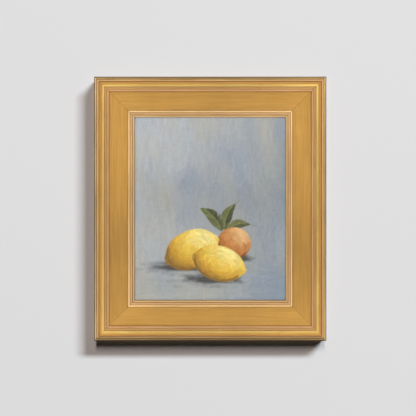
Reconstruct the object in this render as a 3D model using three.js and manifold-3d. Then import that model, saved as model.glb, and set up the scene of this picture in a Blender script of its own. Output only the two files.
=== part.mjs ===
// A gilded picture frame for a 10 x 12 inch canvas, with the canvas stretched on wedged bars inside it.
//
// Millimetres. X runs to the viewer's right, Z up, and the picture faces -Y. The wall is the plane y = 0.
// The origin is the hanging point: where a wall nail carries the middle notch of the hanger.
// Everything is modelled about the centre of the frame's flat back, as seen by the "picture" group:
// there a height h above the frame's back is y = -h.
import * as THREE from "three";
import { mergeVertices } from "three/addons/utils/BufferGeometryUtils.js";
import Module from "manifold-3d";

const wasm = await Module();
wasm.setup();

// ---- driving dimensions ----------------------------------------------------------------------

const INCH = 25.4;
const PICTURE = { width: 10 * INCH, height: 12 * INCH }; // the canvas on its bars
const LIP_COVER = 0.25 * INCH; // how far the frame's lip covers the canvas, on each side
const MOULDING = 2.5 * INCH; // width of the moulding, from its outer edge to the sight edge
const CLEARANCE = 1.6; // play round the canvas in the rabbet, on each side
const SEAT_GAP = 0.3; // between pieces that rest on each other
const WALL_GAP = 3.5; // from the frame's back to the wall
const HANGER_DROP = 34; // from the frame's top edge down to the notch that the nail carries
const OVERCUT = 1; // how far a cutter stands past the face that it cuts into
const HOLE_SIDES = 16;
const PLATE_SEGMENTS = 12; // in each curve of a flat piece's outline
const WELD = 1e-4; // points nearer than this are one point

const SIGHT = { width: PICTURE.width - 2 * LIP_COVER, height: PICTURE.height - 2 * LIP_COVER };
const OUTER = { width: SIGHT.width + 2 * MOULDING, height: SIGHT.height + 2 * MOULDING };
const RABBET_WALL = MOULDING - LIP_COVER - CLEARANCE; // measured in from the outer edge, as all of these are
const RABBET_DEPTH = 18.5; // the height of the lip's underside

const CANVAS = 0.8; // thickness of the primed and painted cloth
const FOLD = 15; // width of the cloth that is turned over onto the back of the bars
const CANVAS_FACE = RABBET_DEPTH - SEAT_GAP; // height of the painted face

const BAR = {
  width: 38,
  back: CANVAS + SEAT_GAP, // height of the bar's back, which lies on the turned cloth
  front: CANVAS_FACE - CANVAS - SEAT_GAP, // height of the raised bead that carries the cloth
  eased: 1, // how far the bead's outer arris is cut back
  bead: 5, // width of the bead
  step: { outer: 7, down: 1.6 }, // where the face has dropped clear of the cloth, and how far below the bead
  slope: 3.2, // how far the face ends below the bead
  chamfer: 0.6, // along the inner edge
};

// ---- materials ---------------------------------------------------------------------------------

const finish = (color, roughness, metalness) => new THREE.MeshStandardMaterial({ color, roughness, metalness });
const GILT = finish(0xc99a4e, 0.38, 0.85);
const PAINTED_CANVAS = finish(0xa4abb0, 0.75, 0);
const PINE = finish(0xd8b888, 0.7, 0);
const BEECH = finish(0xc9a27a, 0.65, 0);
const ZINC = finish(0xb4b6b8, 0.35, 0.9);
const BRASS = finish(0xc0a05a, 0.3, 0.95);
const STEEL = finish(0x8c8f92, 0.4, 0.9);
const RUBBER = finish(0x3a322c, 0.85, 0);

// ---- solids ------------------------------------------------------------------------------------

/** The closed solid that a three.js geometry bounds. */
function solidOf(geometry) {
  const bare = geometry.index ? geometry.toNonIndexed() : geometry.clone();
  for (const name of Object.keys(bare.attributes)) if (name !== "position") bare.deleteAttribute(name);
  const merged = mergeVertices(bare, WELD);
  return new wasm.Manifold(
    new wasm.Mesh({
      numProp: 3,
      vertProperties: merged.attributes.position.array,
      triVerts: new Uint32Array(merged.index.array),
    }),
  );
}

/** The geometry of a solid, with flat faces. */
function geometryOf(solid) {
  const { vertProperties, triVerts, numProp } = solid.getMesh();
  const positions = new Float32Array((vertProperties.length / numProp) * 3);
  for (let i = 0; i < positions.length / 3; i++)
    positions.set(vertProperties.subarray(i * numProp, i * numProp + 3), i * 3);
  const geometry = new THREE.BufferGeometry();
  geometry.setAttribute("position", new THREE.BufferAttribute(positions, 3));
  geometry.setIndex(new THREE.BufferAttribute(new Uint32Array(triVerts), 1));
  const flat = geometry.toNonIndexed();
  flat.computeVertexNormals();
  return flat;
}

/** A block between two opposite corners. */
function block([x0, y0, z0], [x1, y1, z1]) {
  return new THREE.BoxGeometry(x1 - x0, y1 - y0, z1 - z0).translate((x0 + x1) / 2, (y0 + y1) / 2, (z0 + z1) / 2);
}

/** A shape given by its corners, in order. */
function outline(corners) {
  return new THREE.Shape(corners.map(([x, y]) => new THREE.Vector2(x, y)));
}

/** A shape in the plane of the picture, as (x, z), thickened from height low to height high. */
function plate(shape, low, high) {
  const solid = { depth: high - low, bevelEnabled: false, curveSegments: PLATE_SEGMENTS };
  return new THREE.ExtrudeGeometry(shape, solid).rotateX(Math.PI / 2).translate(0, -low, 0);
}

/** A solid of revolution that stands on the back of the frame: its profile is [radius, height] pairs. */
function turned(profile, sides) {
  const points = profile.map(([radius, height]) => new THREE.Vector2(radius, height));
  return new THREE.LatheGeometry(points, sides);
}

/** Cuts each of the geometries in turn from the first one. */
function cut(geometry, ...cutters) {
  if (!cutters.length) return geometry;
  return geometryOf(cutters.reduce((solid, cutter) => solid.subtract(solidOf(cutter)), solidOf(geometry)));
}

// ---- the moulding ------------------------------------------------------------------------------

// Each step of the front, from the sight edge outwards: distance in from the outer edge, then height.
// A bead is half an ellipse: half is half its width, and rise is how far it stands above its springing.
const FRONT = {
  sightBand: { round: 1.1, low: 20.3, high: 21.9, outer: 61.1 },
  innerQuirk: { outer: 59.7, floor: 21.3 },
  innerFillet: { high: 22.8, outer: 57.6 },
  beadQuirk: { outer: 56.6, floor: 22.3 },
  innerBead: { centre: 54.8, half: 1.8, rise: 1.3, high: 24.8 },
  panel: { inner: 53.0, innerHigh: 23.6, dip: 41, dipHigh: 22.7, outer: 24.4, outerHigh: 26.4 },
  panelQuirk: { outer: 23.2, floor: 25.9 },
  lowFillet: { high: 28.4, outer: 20.3 },
  filletQuirk: { outer: 19.3, floor: 27.8 },
  highFillet: { high: 30.4, outer: 16.4 },
  ridge: { springing: 32.3, crest: 15.2, high: 33.0 },
  ogee: { shoulder: 13.3, turn: 11.6, turnHigh: 32.3, bend: 9.9, bendHigh: 31.64, outer: 8.4, outerHigh: 31.4 },
  outerQuirk: { outer: 7.2, floor: 30.0 },
  outerFillet: { high: 30.8, outer: 4.2 },
  outerBead: { centre: 2.1, half: 2.1, rise: 1.6, high: 31.6 },
};
const BACK_CHAMFER = 0.8;
const LIP_CHAMFER = 0.5;
const ARC_SEGMENTS = 7;

/** The moulding's section: x is the distance in from the outer edge, y is the height above the back. */
function mouldingSection() {
  const f = FRONT;
  const path = new THREE.Shape();
  // The flat back, and the rabbet that the canvas lies in
  path.moveTo(BACK_CHAMFER, 0);
  path.lineTo(RABBET_WALL, 0);
  path.lineTo(RABBET_WALL, RABBET_DEPTH);
  path.lineTo(MOULDING - LIP_CHAMFER, RABBET_DEPTH);
  path.lineTo(MOULDING, RABBET_DEPTH + LIP_CHAMFER);
  // The sight edge, with a quarter round and a band
  path.lineTo(MOULDING, f.sightBand.low);
  path.quadraticCurveTo(MOULDING, f.sightBand.high, MOULDING - f.sightBand.round, f.sightBand.high);
  path.lineTo(f.sightBand.outer, f.sightBand.high);
  groove(path, f.sightBand.outer, f.innerQuirk);
  path.lineTo(f.innerQuirk.outer, f.innerFillet.high);
  path.lineTo(f.innerFillet.outer, f.innerFillet.high);
  groove(path, f.innerFillet.outer, f.beadQuirk);
  bead(path, f.innerBead);
  // The wide scooped panel
  path.lineTo(f.panel.inner, f.panel.innerHigh);
  path.quadraticCurveTo(f.panel.dip, f.panel.dipHigh, f.panel.outer, f.panel.outerHigh);
  groove(path, f.panel.outer, f.panelQuirk);
  // Two fillets that climb to the ridge
  path.lineTo(f.panelQuirk.outer, f.lowFillet.high);
  path.lineTo(f.lowFillet.outer, f.lowFillet.high);
  groove(path, f.lowFillet.outer, f.filletQuirk);
  path.lineTo(f.filletQuirk.outer, f.highFillet.high);
  path.lineTo(f.highFillet.outer, f.highFillet.high);
  path.lineTo(f.highFillet.outer, f.ridge.springing);
  path.quadraticCurveTo(f.highFillet.outer, f.ridge.high, f.ridge.crest, f.ridge.high);
  // The ogee that the ridge rolls over into, then a groove, a fillet and the outer bead
  path.quadraticCurveTo(f.ogee.shoulder, f.ridge.high, f.ogee.turn, f.ogee.turnHigh);
  path.quadraticCurveTo(f.ogee.bend, f.ogee.bendHigh, f.ogee.outer, f.ogee.outerHigh);
  groove(path, f.ogee.outer, f.outerQuirk);
  path.lineTo(f.outerQuirk.outer, f.outerFillet.high);
  path.lineTo(f.outerFillet.outer, f.outerFillet.high);
  bead(path, f.outerBead);
  path.lineTo(0, BACK_CHAMFER);
  path.closePath();
  return path;
}

/** A square groove that starts at distance inner, drawn outwards along its floor. */
function groove(path, inner, { outer, floor }) {
  path.lineTo(inner, floor);
  path.lineTo(outer, floor);
}

/** A bead, drawn from its inner side over the top to its outer side. */
function bead(path, { centre, half, rise, high }) {
  path.lineTo(centre + half, high - rise);
  path.absellipse(centre, high - rise, half, rise, 0, Math.PI, false, 0);
}

/**
 * Lays a section that was extruded by 1 along the bottom of the picture, mitred at both ends: its length
 * runs along x, its outer edge is at z = -across / 2, and its front faces -y.
 */
function layMitred(geometry, run, across) {
  const place = geometry.attributes.position;
  for (let i = 0; i < place.count; i++) {
    const inward = place.getX(i);
    const end = 2 * place.getZ(i) - 1;
    place.setXYZ(i, end * (run / 2 - inward - SEAT_GAP / 2), -place.getY(i), -across / 2 + inward);
  }
  return geometry;
}

/** One rail of the frame, as it lies at the bottom of the picture. */
function railGeometry(run, across) {
  const section = { depth: 1, steps: 1, bevelEnabled: false, curveSegments: ARC_SEGMENTS };
  return layMitred(new THREE.ExtrudeGeometry(mouldingSection(), section), run, across);
}

// ---- V-shaped corner nails ---------------------------------------------------------------------

const V_NAIL = { leg: 5.5, thick: 0.8, depth: 10, sunk: 0.2, at: [17, 39] }; // at: in from the outer edge

/** The plan of a corner nail with its point at the origin, its legs along +x and +z, grown by margin. */
function vNailPlan(margin) {
  const near = -V_NAIL.thick / 2 - margin;
  const far = V_NAIL.thick / 2 + margin;
  const tip = V_NAIL.leg + margin;
  return outline([
    [near, near],
    [tip, near],
    [tip, far],
    [far, far],
    [far, tip],
    [near, tip],
  ]);
}

/** A corner nail, or with a margin the slot for one, standing in the frame's back. */
function vNailGeometry(margin = 0) {
  const low = margin ? -OVERCUT : V_NAIL.sunk;
  return plate(vNailPlan(margin), low, V_NAIL.depth + margin);
}

/** Where the corner nails of the corner at (-x, -z) stand, in a picture of this outer size. */
function vNailPlaces({ width, height }) {
  return V_NAIL.at.map((inward) => [-width / 2 + inward, -height / 2 + inward]);
}

/** The slots for the corner nails in both ends of a rail that lies at the bottom of the picture. */
function vNailSlots(run, across) {
  return vNailPlaces({ width: run, height: across }).flatMap(([x, z]) => [
    vNailGeometry(SEAT_GAP).translate(x, 0, z),
    vNailGeometry(SEAT_GAP).rotateY(-Math.PI / 2).translate(-x, 0, z),
  ]);
}

// ---- retaining clips with their screws -----------------------------------------------------------

const CLIP = {
  length: 34,
  width: 12,
  thick: 1.2,
  along: 85, // from the rail's middle
  onRail: 20, // length that lies on the rail, the rest reaching over the canvas
  screwFrom: 11, // from the clip's outer end
};
const CLIP_START = RABBET_WALL - CLIP.onRail; // in from the outer edge
const CLIP_TOP = -SEAT_GAP - CLIP.thick;
const SCREW = {
  shank: 1.5,
  length: 11,
  point: 2.5,
  head: 3.4,
  headHigh: 1.4,
  crown: [[0.62, 0], [0.9, 0.4], [1, 1.0]], // the head's outline: share of its radius, depth below its top
  cross: 1.1,
  crossLong: 4.2,
  crossDeep: 0.8,
  sides: 20,
};

/** A flat steel clip: its length runs along z, from the rail over the canvas bar. */
function clipGeometry() {
  const half = CLIP.width / 2;
  const shape = new THREE.Shape();
  shape.absarc(0, half, half, Math.PI, 2 * Math.PI, false);
  shape.lineTo(half, CLIP.length - half);
  shape.absarc(0, CLIP.length - half, half, 0, Math.PI, false);
  shape.closePath();
  const hole = new THREE.Path();
  hole.absarc(0, CLIP.screwFrom, SCREW.shank + SEAT_GAP, 0, 2 * Math.PI, true);
  shape.holes.push(hole);
  return plate(shape, CLIP_TOP, -SEAT_GAP);
}

/** A pan-head screw with a cross recess, its shank along +h into the frame's back. */
function screwGeometry() {
  const under = CLIP_TOP - SEAT_GAP;
  const top = under - SCREW.headHigh;
  const body = turned(
    [
      [0, -SCREW.length],
      [SCREW.shank, -SCREW.length + SCREW.point],
      [SCREW.shank, -under],
      [SCREW.head, -under],
      ...crownLine(SCREW, -top),
      [0, -top],
    ],
    SCREW.sides,
  );
  const arm = SCREW.crossLong / 2;
  const wide = SCREW.cross / 2;
  const floor = -top - SCREW.crossDeep;
  return cut(
    body,
    block([-arm, floor, -wide], [arm, OVERCUT - top, wide]),
    block([-wide, floor, -arm], [wide, OVERCUT - top, arm]),
  );
}

/** The outline of a round head from its rim up to its top, which is at the given height. */
function crownLine({ head, crown }, top) {
  return crown.map(([share, below]) => [head * share, top - below]).reverse();
}

/** The hole in a rail for a screw or a nail. */
function fixingHole({ shank, length }) {
  const radius = shank + SEAT_GAP;
  return new THREE.CylinderGeometry(radius, radius, length + 2 * OVERCUT, HOLE_SIDES).translate(0, OVERCUT - length / 2, 0);
}

// ---- hanger with its nails -----------------------------------------------------------------------

const HANGER = {
  length: 64,
  width: 11,
  thick: 0.8,
  lift: 2.2, // how far its middle stands out from its ends
  footing: 12, // length of each flat end
  ramp: 3,
  pitch: 3, // from one tooth to the next
  tooth: 1.6, // depth of the notches
  toothFlat: 0.4, // how far below the strip a notch would be as wide as the pitch, which leaves the teeth flat
};
const NAIL = {
  shank: 0.9,
  length: 10,
  point: 1.8,
  head: 2.7,
  headHigh: 0.9,
  crown: [[0.5, 0], [0.86, 0.27], [1, 0.6]],
  sides: 18,
};

/** The bent strip, seen from above as (x, distance out from the frame's back), at one of its two faces. */
function hangerLine(face) {
  const end = HANGER.length / 2;
  const foot = end - HANGER.footing;
  const low = SEAT_GAP + face;
  const high = low + HANGER.lift;
  return [
    [-end, low],
    [-foot, low],
    [-foot + HANGER.ramp, high],
    [foot - HANGER.ramp, high],
    [foot, low],
    [end, low],
  ];
}

/** The saw-toothed hanger. The middle notch is at z = 0, and the strip stands above it. */
function hangerGeometry() {
  const section = outline([...hangerLine(0), ...hangerLine(HANGER.thick).reverse()]);
  const strip = new THREE.ExtrudeGeometry(section, { depth: HANGER.width, bevelEnabled: false }).translate(
    0,
    0,
    -HANGER.tooth,
  );
  const reach = HANGER.length / 2 - HANGER.footing - HANGER.ramp - HANGER.pitch / 2;
  const notches = [];
  for (let x = -Math.floor(reach / HANGER.pitch) * HANGER.pitch; x <= reach; x += HANGER.pitch) {
    const notch = outline([
      [x - HANGER.pitch / 2, -HANGER.tooth - HANGER.toothFlat],
      [x + HANGER.pitch / 2, -HANGER.tooth - HANGER.toothFlat],
      [x, 0],
    ]);
    notches.push(plate(notch, -SEAT_GAP - HANGER.lift - HANGER.thick - OVERCUT, 0));
  }
  const holes = [-1, 1].map((side) => {
    return fixingHole(NAIL).translate(side * nailReach(), NAIL.length / 2, HANGER.width / 2 - HANGER.tooth);
  });
  return cut(strip, ...notches, ...holes);
}

/** How far the hanger's nails are from its middle. */
function nailReach() {
  return (HANGER.length - HANGER.footing) / 2;
}

/** A round-headed nail through the hanger's flat end into the frame's back. */
function nailGeometry() {
  const under = 2 * SEAT_GAP + HANGER.thick;
  return turned(
    [
      [0, -NAIL.length],
      [NAIL.shank, -NAIL.length + NAIL.point],
      [NAIL.shank, under],
      [NAIL.head, under],
      ...crownLine(NAIL, under + NAIL.headHigh),
      [0, under + NAIL.headHigh],
    ],
    NAIL.sides,
  );
}

// ---- wall bumpers --------------------------------------------------------------------------------

const BUMPER = {
  radius: 6,
  flat: 4.4, // radius of its flat end
  rim: 1.2, // height of its straight side
  inward: 15, // from both outer edges of the frame
  steps: 4,
  sides: 28,
};

/** A soft round foot that keeps the frame's back off the wall: it ends flat, in the wall's plane. */
function bumperGeometry() {
  const profile = [
    [0, SEAT_GAP],
    [BUMPER.radius, SEAT_GAP],
    [BUMPER.radius, SEAT_GAP + BUMPER.rim],
  ];
  const bulge = BUMPER.radius - BUMPER.flat;
  const rise = WALL_GAP - SEAT_GAP - BUMPER.rim;
  for (let step = 1; step <= BUMPER.steps; step++) {
    const angle = (step / BUMPER.steps) * (Math.PI / 2);
    profile.push([BUMPER.flat + bulge * Math.cos(angle), SEAT_GAP + BUMPER.rim + rise * Math.sin(angle)]);
  }
  profile.push([0, WALL_GAP]);
  return turned(profile, BUMPER.sides);
}

// ---- canvas bars and their keys --------------------------------------------------------------------

const KEY = { length: 27, tail: 10, tip: 4.5, thick: 3, inside: 13 }; // inside: length that is in the bar
const KEY_LEVELS = [8.6, 4.0]; // the height of the two keys of a corner, so that they pass each other
const BARS_OUTER = {
  width: PICTURE.width - 2 * (CANVAS + SEAT_GAP),
  height: PICTURE.height - 2 * (CANVAS + SEAT_GAP),
};

/** The bar's section: x is the distance in from its outer edge, y is the height above the frame's back. */
function barSection() {
  const { width, back, front, eased, bead: beadWidth, step, slope, chamfer } = BAR;
  return outline([
    [0, back],
    [width, back],
    [width, front - slope - chamfer],
    [width - chamfer, front - slope],
    [step.outer, front - step.down],
    [beadWidth, front],
    [eased, front],
    [0, front - eased],
  ]);
}

// Ways to lay a key's plan: upright at a left-hand corner, upright at a right-hand one, and lying down.
const UPRIGHT_LEFT = ([x, z]) => [x, z];
const UPRIGHT_RIGHT = ([x, z]) => [-x, z];
const LYING_LEFT = ([x, z]) => [z, x];

/**
 * A key, or with a margin the slot for one. Its plan is a wedge that points to -z with its straight side
 * along x = 0 and the mouth of its slot at z = 0, laid one of the ways above.
 */
function keyGeometry(level, lay, margin = 0) {
  const tip = KEY.tip + margin;
  const tail = KEY.tail + margin;
  const plan = [
    [-margin, -KEY.inside - margin],
    [tip, -KEY.inside - margin],
    [tail, KEY.length - KEY.inside],
    [-margin, KEY.length - KEY.inside],
  ];
  return plate(outline(plan.map(lay)), KEY_LEVELS[level] - margin, KEY_LEVELS[level] + KEY.thick + margin);
}

/** One bar, mitred at both ends, with its key slots. It lies at the bottom of the picture. */
function barGeometry(run, across, level) {
  const geometry = new THREE.ExtrudeGeometry(barSection(), { depth: 1, steps: 1, bevelEnabled: false });
  layMitred(geometry, run, across);
  const mouth = -across / 2 + BAR.width;
  const end = run / 2 - BAR.width - SEAT_GAP;
  return cut(
    geometry,
    keyGeometry(level, UPRIGHT_LEFT, SEAT_GAP).translate(-end, 0, mouth),
    keyGeometry(level, UPRIGHT_RIGHT, SEAT_GAP).translate(end, 0, mouth),
  );
}

/** The two keys of the bottom left corner: one stands against the left bar, one lies on the bottom bar. */
function cornerKeys({ width, height }) {
  const x = -width / 2 + BAR.width;
  const z = -height / 2 + BAR.width;
  return [
    keyGeometry(0, UPRIGHT_LEFT).translate(x + SEAT_GAP, 0, z),
    keyGeometry(1, LYING_LEFT).translate(x, 0, z + SEAT_GAP),
  ];
}

// ---- the canvas ------------------------------------------------------------------------------------

/** The cloth: its painted face, its four sides and the strip that is turned over onto the bars' back. */
function canvasGeometry() {
  const x = PICTURE.width / 2;
  const z = PICTURE.height / 2;
  const sheath = block([-x, -CANVAS_FACE, -z], [x, 0, z]);
  const inside = block([-x + CANVAS, -CANVAS_FACE + CANVAS, -z + CANVAS], [x - CANVAS, -CANVAS, z - CANVAS]);
  const opening = block([-x + FOLD, -CANVAS_FACE / 2, -z + FOLD], [x - FOLD, OVERCUT, z - FOLD]);
  return cut(sheath, inside, opening);
}

// ---- assembly --------------------------------------------------------------------------------------

/** A piece of the picture: its geometry in its material, under its own name. */
function named(name, geometry, material) {
  const mesh = new THREE.Mesh(geometry, material);
  mesh.name = name;
  return mesh;
}

/** Quarter turns that carry a piece from the bottom of the picture to each of its sides. */
const SIDES = [
  { name: "bottom", quarters: 0, run: "width", across: "height" },
  { name: "left", quarters: 1, run: "height", across: "width" },
  { name: "top", quarters: 2, run: "width", across: "height" },
  { name: "right", quarters: 3, run: "height", across: "width" },
];
const quarterTurn = (quarters) => (quarters * Math.PI) / 2;

const picture = new THREE.Group();
picture.position.set(0, -WALL_GAP, HANGER_DROP - OUTER.height / 2);

for (const { name, quarters, run, across } of SIDES) {
  const side = new THREE.Group();
  side.rotation.y = quarterTurn(quarters);
  picture.add(side);

  // The rail, with the slots and holes for what is driven into it
  const cutters = vNailSlots(OUTER[run], OUTER[across]);
  const screwRow = -OUTER[across] / 2 + CLIP_START + CLIP.screwFrom;
  const clips = run === "height" ? [-CLIP.along, CLIP.along] : [];
  for (const x of clips) cutters.push(fixingHole(SCREW).translate(x, 0, screwRow));
  if (name === "top")
    for (const x of [-nailReach(), nailReach()]) {
      const nailRow = -OUTER.height / 2 + HANGER_DROP - (HANGER.width / 2 - HANGER.tooth);
      cutters.push(fixingHole(NAIL).translate(x, 0, nailRow));
    }
  side.add(named(`rail_${name}`, cut(railGeometry(OUTER[run], OUTER[across]), ...cutters), GILT));

  // The bar behind the canvas: upright keys are driven into the bottom and top bars, lying ones into the others
  const level = run === "width" ? 0 : 1;
  side.add(named(`stretcher_${name}`, barGeometry(BARS_OUTER[run], BARS_OUTER[across], level), PINE));

  // The clips that hold the canvas in, on the two long sides
  clips.forEach((x, index) => {
    const clip = named(`clip_${name}_${index + 1}`, clipGeometry(), ZINC);
    clip.position.set(x, 0, -OUTER[across] / 2 + CLIP_START);
    const screw = named(`clip_screw_${name}_${index + 1}`, screwGeometry(), BRASS);
    screw.position.set(x, 0, screwRow);
    side.add(clip, screw);
  });
}

picture.add(named("canvas", canvasGeometry(), PAINTED_CANVAS));

// Each corner: two keys and two corner nails, made at the bottom left and mirrored to the others
const CORNERS = [
  { name: "bottom_left", x: 1, z: 1 },
  { name: "bottom_right", x: -1, z: 1 },
  { name: "top_left", x: 1, z: -1 },
  { name: "top_right", x: -1, z: -1 },
];
for (const corner of CORNERS) {
  const group = new THREE.Group();
  group.scale.set(corner.x, 1, corner.z);
  picture.add(group);
  cornerKeys(BARS_OUTER).forEach((key, index) => {
    group.add(named(`stretcher_key_${corner.name}_${index + 1}`, key, BEECH));
  });
  vNailPlaces(OUTER).forEach(([x, z], index) => {
    const nail = named(`corner_nail_${corner.name}_${index + 1}`, vNailGeometry(), STEEL);
    nail.position.set(x, 0, z);
    group.add(nail);
  });
}

// The hanger on the top rail, with its two nails
const hanger = new THREE.Group();
hanger.position.set(0, 0, OUTER.height / 2 - HANGER_DROP);
hanger.add(named("hanger", hangerGeometry(), BRASS));
[-1, 1].forEach((side, index) => {
  const nail = named(`hanger_nail_${index + 1}`, nailGeometry(), STEEL);
  nail.position.set(side * nailReach(), 0, HANGER.width / 2 - HANGER.tooth);
  hanger.add(nail);
});
picture.add(hanger);

// The bumpers at the lower corners
[-1, 1].forEach((side) => {
  const bumper = named(side < 0 ? "bumper_left" : "bumper_right", bumperGeometry(), RUBBER);
  bumper.position.set(side * (OUTER.width / 2 - BUMPER.inward), 0, -OUTER.height / 2 + BUMPER.inward);
  picture.add(bumper);
});

const framedCanvas = new THREE.Group();
framedCanvas.add(picture);
export default framedCanvas;
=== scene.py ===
"""A framed painting: a gilded wooden frame with a painted canvas on wedged bars, hung on a pale wall.

Metres, with X to the viewer's right, Z up and the picture facing -Y. The wall is the plane y = 0 and the
origin is the hanging point. Sizes in the classes are in millimetres, as a framer writes them.
"""

import logging
import math
from collections.abc import Callable, Sequence
from dataclasses import dataclass, field, replace
from enum import Enum

import bmesh
import bpy
import numpy as np
from mathutils import Matrix, Vector


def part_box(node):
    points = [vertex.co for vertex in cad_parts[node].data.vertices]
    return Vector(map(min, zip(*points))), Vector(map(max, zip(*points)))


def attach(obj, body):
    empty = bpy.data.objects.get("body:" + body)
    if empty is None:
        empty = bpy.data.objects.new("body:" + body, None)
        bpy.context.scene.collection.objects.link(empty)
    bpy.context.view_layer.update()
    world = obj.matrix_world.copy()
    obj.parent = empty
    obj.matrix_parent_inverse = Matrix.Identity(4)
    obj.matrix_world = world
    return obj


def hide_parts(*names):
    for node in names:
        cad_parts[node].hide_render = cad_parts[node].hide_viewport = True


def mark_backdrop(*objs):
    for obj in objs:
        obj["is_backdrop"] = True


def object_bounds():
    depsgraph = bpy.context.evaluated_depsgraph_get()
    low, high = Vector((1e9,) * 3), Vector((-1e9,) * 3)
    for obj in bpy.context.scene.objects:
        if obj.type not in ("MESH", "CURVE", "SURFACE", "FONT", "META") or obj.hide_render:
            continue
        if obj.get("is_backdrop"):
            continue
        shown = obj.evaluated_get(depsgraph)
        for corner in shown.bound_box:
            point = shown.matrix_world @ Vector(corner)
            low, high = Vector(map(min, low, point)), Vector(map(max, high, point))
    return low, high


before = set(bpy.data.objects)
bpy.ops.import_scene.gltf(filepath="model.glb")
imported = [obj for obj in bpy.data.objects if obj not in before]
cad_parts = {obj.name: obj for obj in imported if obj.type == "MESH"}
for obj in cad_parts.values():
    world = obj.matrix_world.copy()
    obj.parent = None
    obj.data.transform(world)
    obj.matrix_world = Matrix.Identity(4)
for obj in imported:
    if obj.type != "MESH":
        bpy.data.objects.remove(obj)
CAD_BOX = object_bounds()

MM = 0.001
BODY = "root"
log = logging.getLogger("framed_painting")

Colour = tuple[float, float, float]
Point = tuple[float, float]
Span = tuple[float, float, float, float]  # a range of a value, and the range that it is carried to
Relief = tuple[float, float]  # how strong a relief is, and how deep in metres
Mask = Callable[[np.ndarray, np.ndarray], np.ndarray]


# ---- small tools ----


def rgb(red: int, green: int, blue: int) -> Colour:
    """A linear colour from the 0 to 255 values that a paint chart gives."""
    return tuple(linear(value / 255) for value in (red, green, blue))


def linear(value: float) -> float:
    """One channel of a display colour, from 0 to 1, made linear."""
    return value / 12.92 if value <= 0.04045 else ((value + 0.055) / 1.055) ** 2.4


def blur(values: np.ndarray, sigma: float) -> np.ndarray:
    """Smooths values along their first axis.

    Args:
        values: one row for each sample; the ends are held.
        sigma: the width of the bell curve, in samples.

    Returns:
        Smoothed values of the same shape.
    """
    reach = max(1, int(3 * sigma))
    bell = np.exp(-0.5 * (np.arange(-reach, reach + 1) / sigma) ** 2)
    bell /= bell.sum()
    held = np.concatenate([values[:1]] * reach + [values] + [values[-1:]] * reach)
    return sum(weight * held[i : i + len(values)] for i, weight in enumerate(bell))


def waves(seed: int, points: np.ndarray, size: float, count: int = 24) -> np.ndarray:
    """Smooth random swells over a surface, from -1 to 1 or so.

    Args:
        seed: which swells.
        points: coordinates, with any number of rows and two or three columns.
        size: the typical distance between swells, in the unit of the points.
        count: how many plane waves are added up.

    Returns:
        One value for each row of points.
    """
    rng = np.random.default_rng(seed)
    directions = rng.normal(size=(count, points.shape[-1])) * (2 * math.pi / (size * 2.2))
    phases = rng.uniform(0, 2 * math.pi, count)
    total = sum(np.sin(points @ way + phase) for way, phase in zip(directions, phases))
    return total / math.sqrt(count / 2) / 2


def new_object(name: str, vertices: np.ndarray, faces: Sequence[Sequence[int]]) -> bpy.types.Object:
    """A mesh object at the origin, in the scene.

    Args:
        name: of the object and its mesh.
        vertices: one row of three coordinates in metres for each vertex.
        faces: the vertex numbers of each face, counter-clockwise from outside.

    Returns:
        The object.
    """
    mesh = bpy.data.meshes.new(name)
    mesh.from_pydata(np.asarray(vertices).tolist(), [], [list(map(int, face)) for face in faces])
    mesh.validate()
    return in_scene(name, mesh)


def in_scene(name: str, data: bpy.types.ID) -> bpy.types.Object:
    """A new object at the origin of the scene, for a mesh, lamp or camera."""
    thing = bpy.data.objects.new(name, data)
    bpy.context.scene.collection.objects.link(thing)
    return thing


def finished(made: bmesh.types.BMesh, name: str) -> bpy.types.Object:
    """Turns a mesh that was being made into an object in the scene."""
    mesh = bpy.data.meshes.new(name)
    made.to_mesh(mesh)
    made.free()
    return in_scene(name, mesh)


def point_attribute(thing: bpy.types.Object, name: str, kind: str, values: np.ndarray) -> None:
    """Writes one value for each vertex of an object's mesh, for its material to read.

    Args:
        thing: the object.
        name: of the attribute.
        kind: FLOAT, FLOAT_VECTOR or FLOAT_COLOR.
        values: in the order of the vertices.
    """
    key = {"FLOAT": "value", "FLOAT_VECTOR": "vector", "FLOAT_COLOR": "color"}[kind]
    if kind == "FLOAT_COLOR":
        values = np.column_stack([values, np.ones(len(values))])
    attribute = thing.data.attributes.new(name, kind, "POINT")
    attribute.data.foreach_set(key, np.ascontiguousarray(values, dtype=np.float32).ravel())


def shade_smooth(thing: bpy.types.Object, sharp_angle: float = math.radians(40)) -> None:
    """Shades an object smoothly, with hard edges where its faces meet at more than sharp_angle."""
    made = bmesh.new()
    made.from_mesh(thing.data)
    for face in made.faces:
        face.smooth = True
    for edge in made.edges:
        edge.smooth = len(edge.link_faces) == 2 and edge.calc_face_angle(math.pi) < sharp_angle
    made.to_mesh(thing.data)
    made.free()


def grid_faces(rows: int, columns: int, closed: bool, start: int = 0) -> list[tuple[int, int, int, int]]:
    """The quads between rows of vertices.

    Args:
        rows: how many rows of vertices there are.
        columns: how many vertices each row has.
        closed: whether each row runs round and joins its own start.
        start: the number of the first vertex.

    Returns:
        The vertex numbers of each quad.
    """
    last = columns if closed else columns - 1
    quads = []
    for row in range(rows - 1):
        for column in range(last):
            beside = (column + 1) % columns
            a = start + row * columns + column
            b = start + row * columns + beside
            quads.append((a, b, b + columns, a + columns))
    return quads


def put(thing: bpy.types.Object, slot: str, *nodes: str) -> None:
    """Makes a piece ride on the part and hides the solids that it stands for.

    Args:
        thing: the piece.
        slot: not used.
        nodes: the solids that it stands for.
    """
    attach(thing, BODY)
    if nodes:
        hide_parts(*nodes)
    log.info("%s: %d faces, for %s", thing.name, len(thing.data.polygons), ", ".join(nodes) or "nothing else")


# ---- shader groups ----


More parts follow.
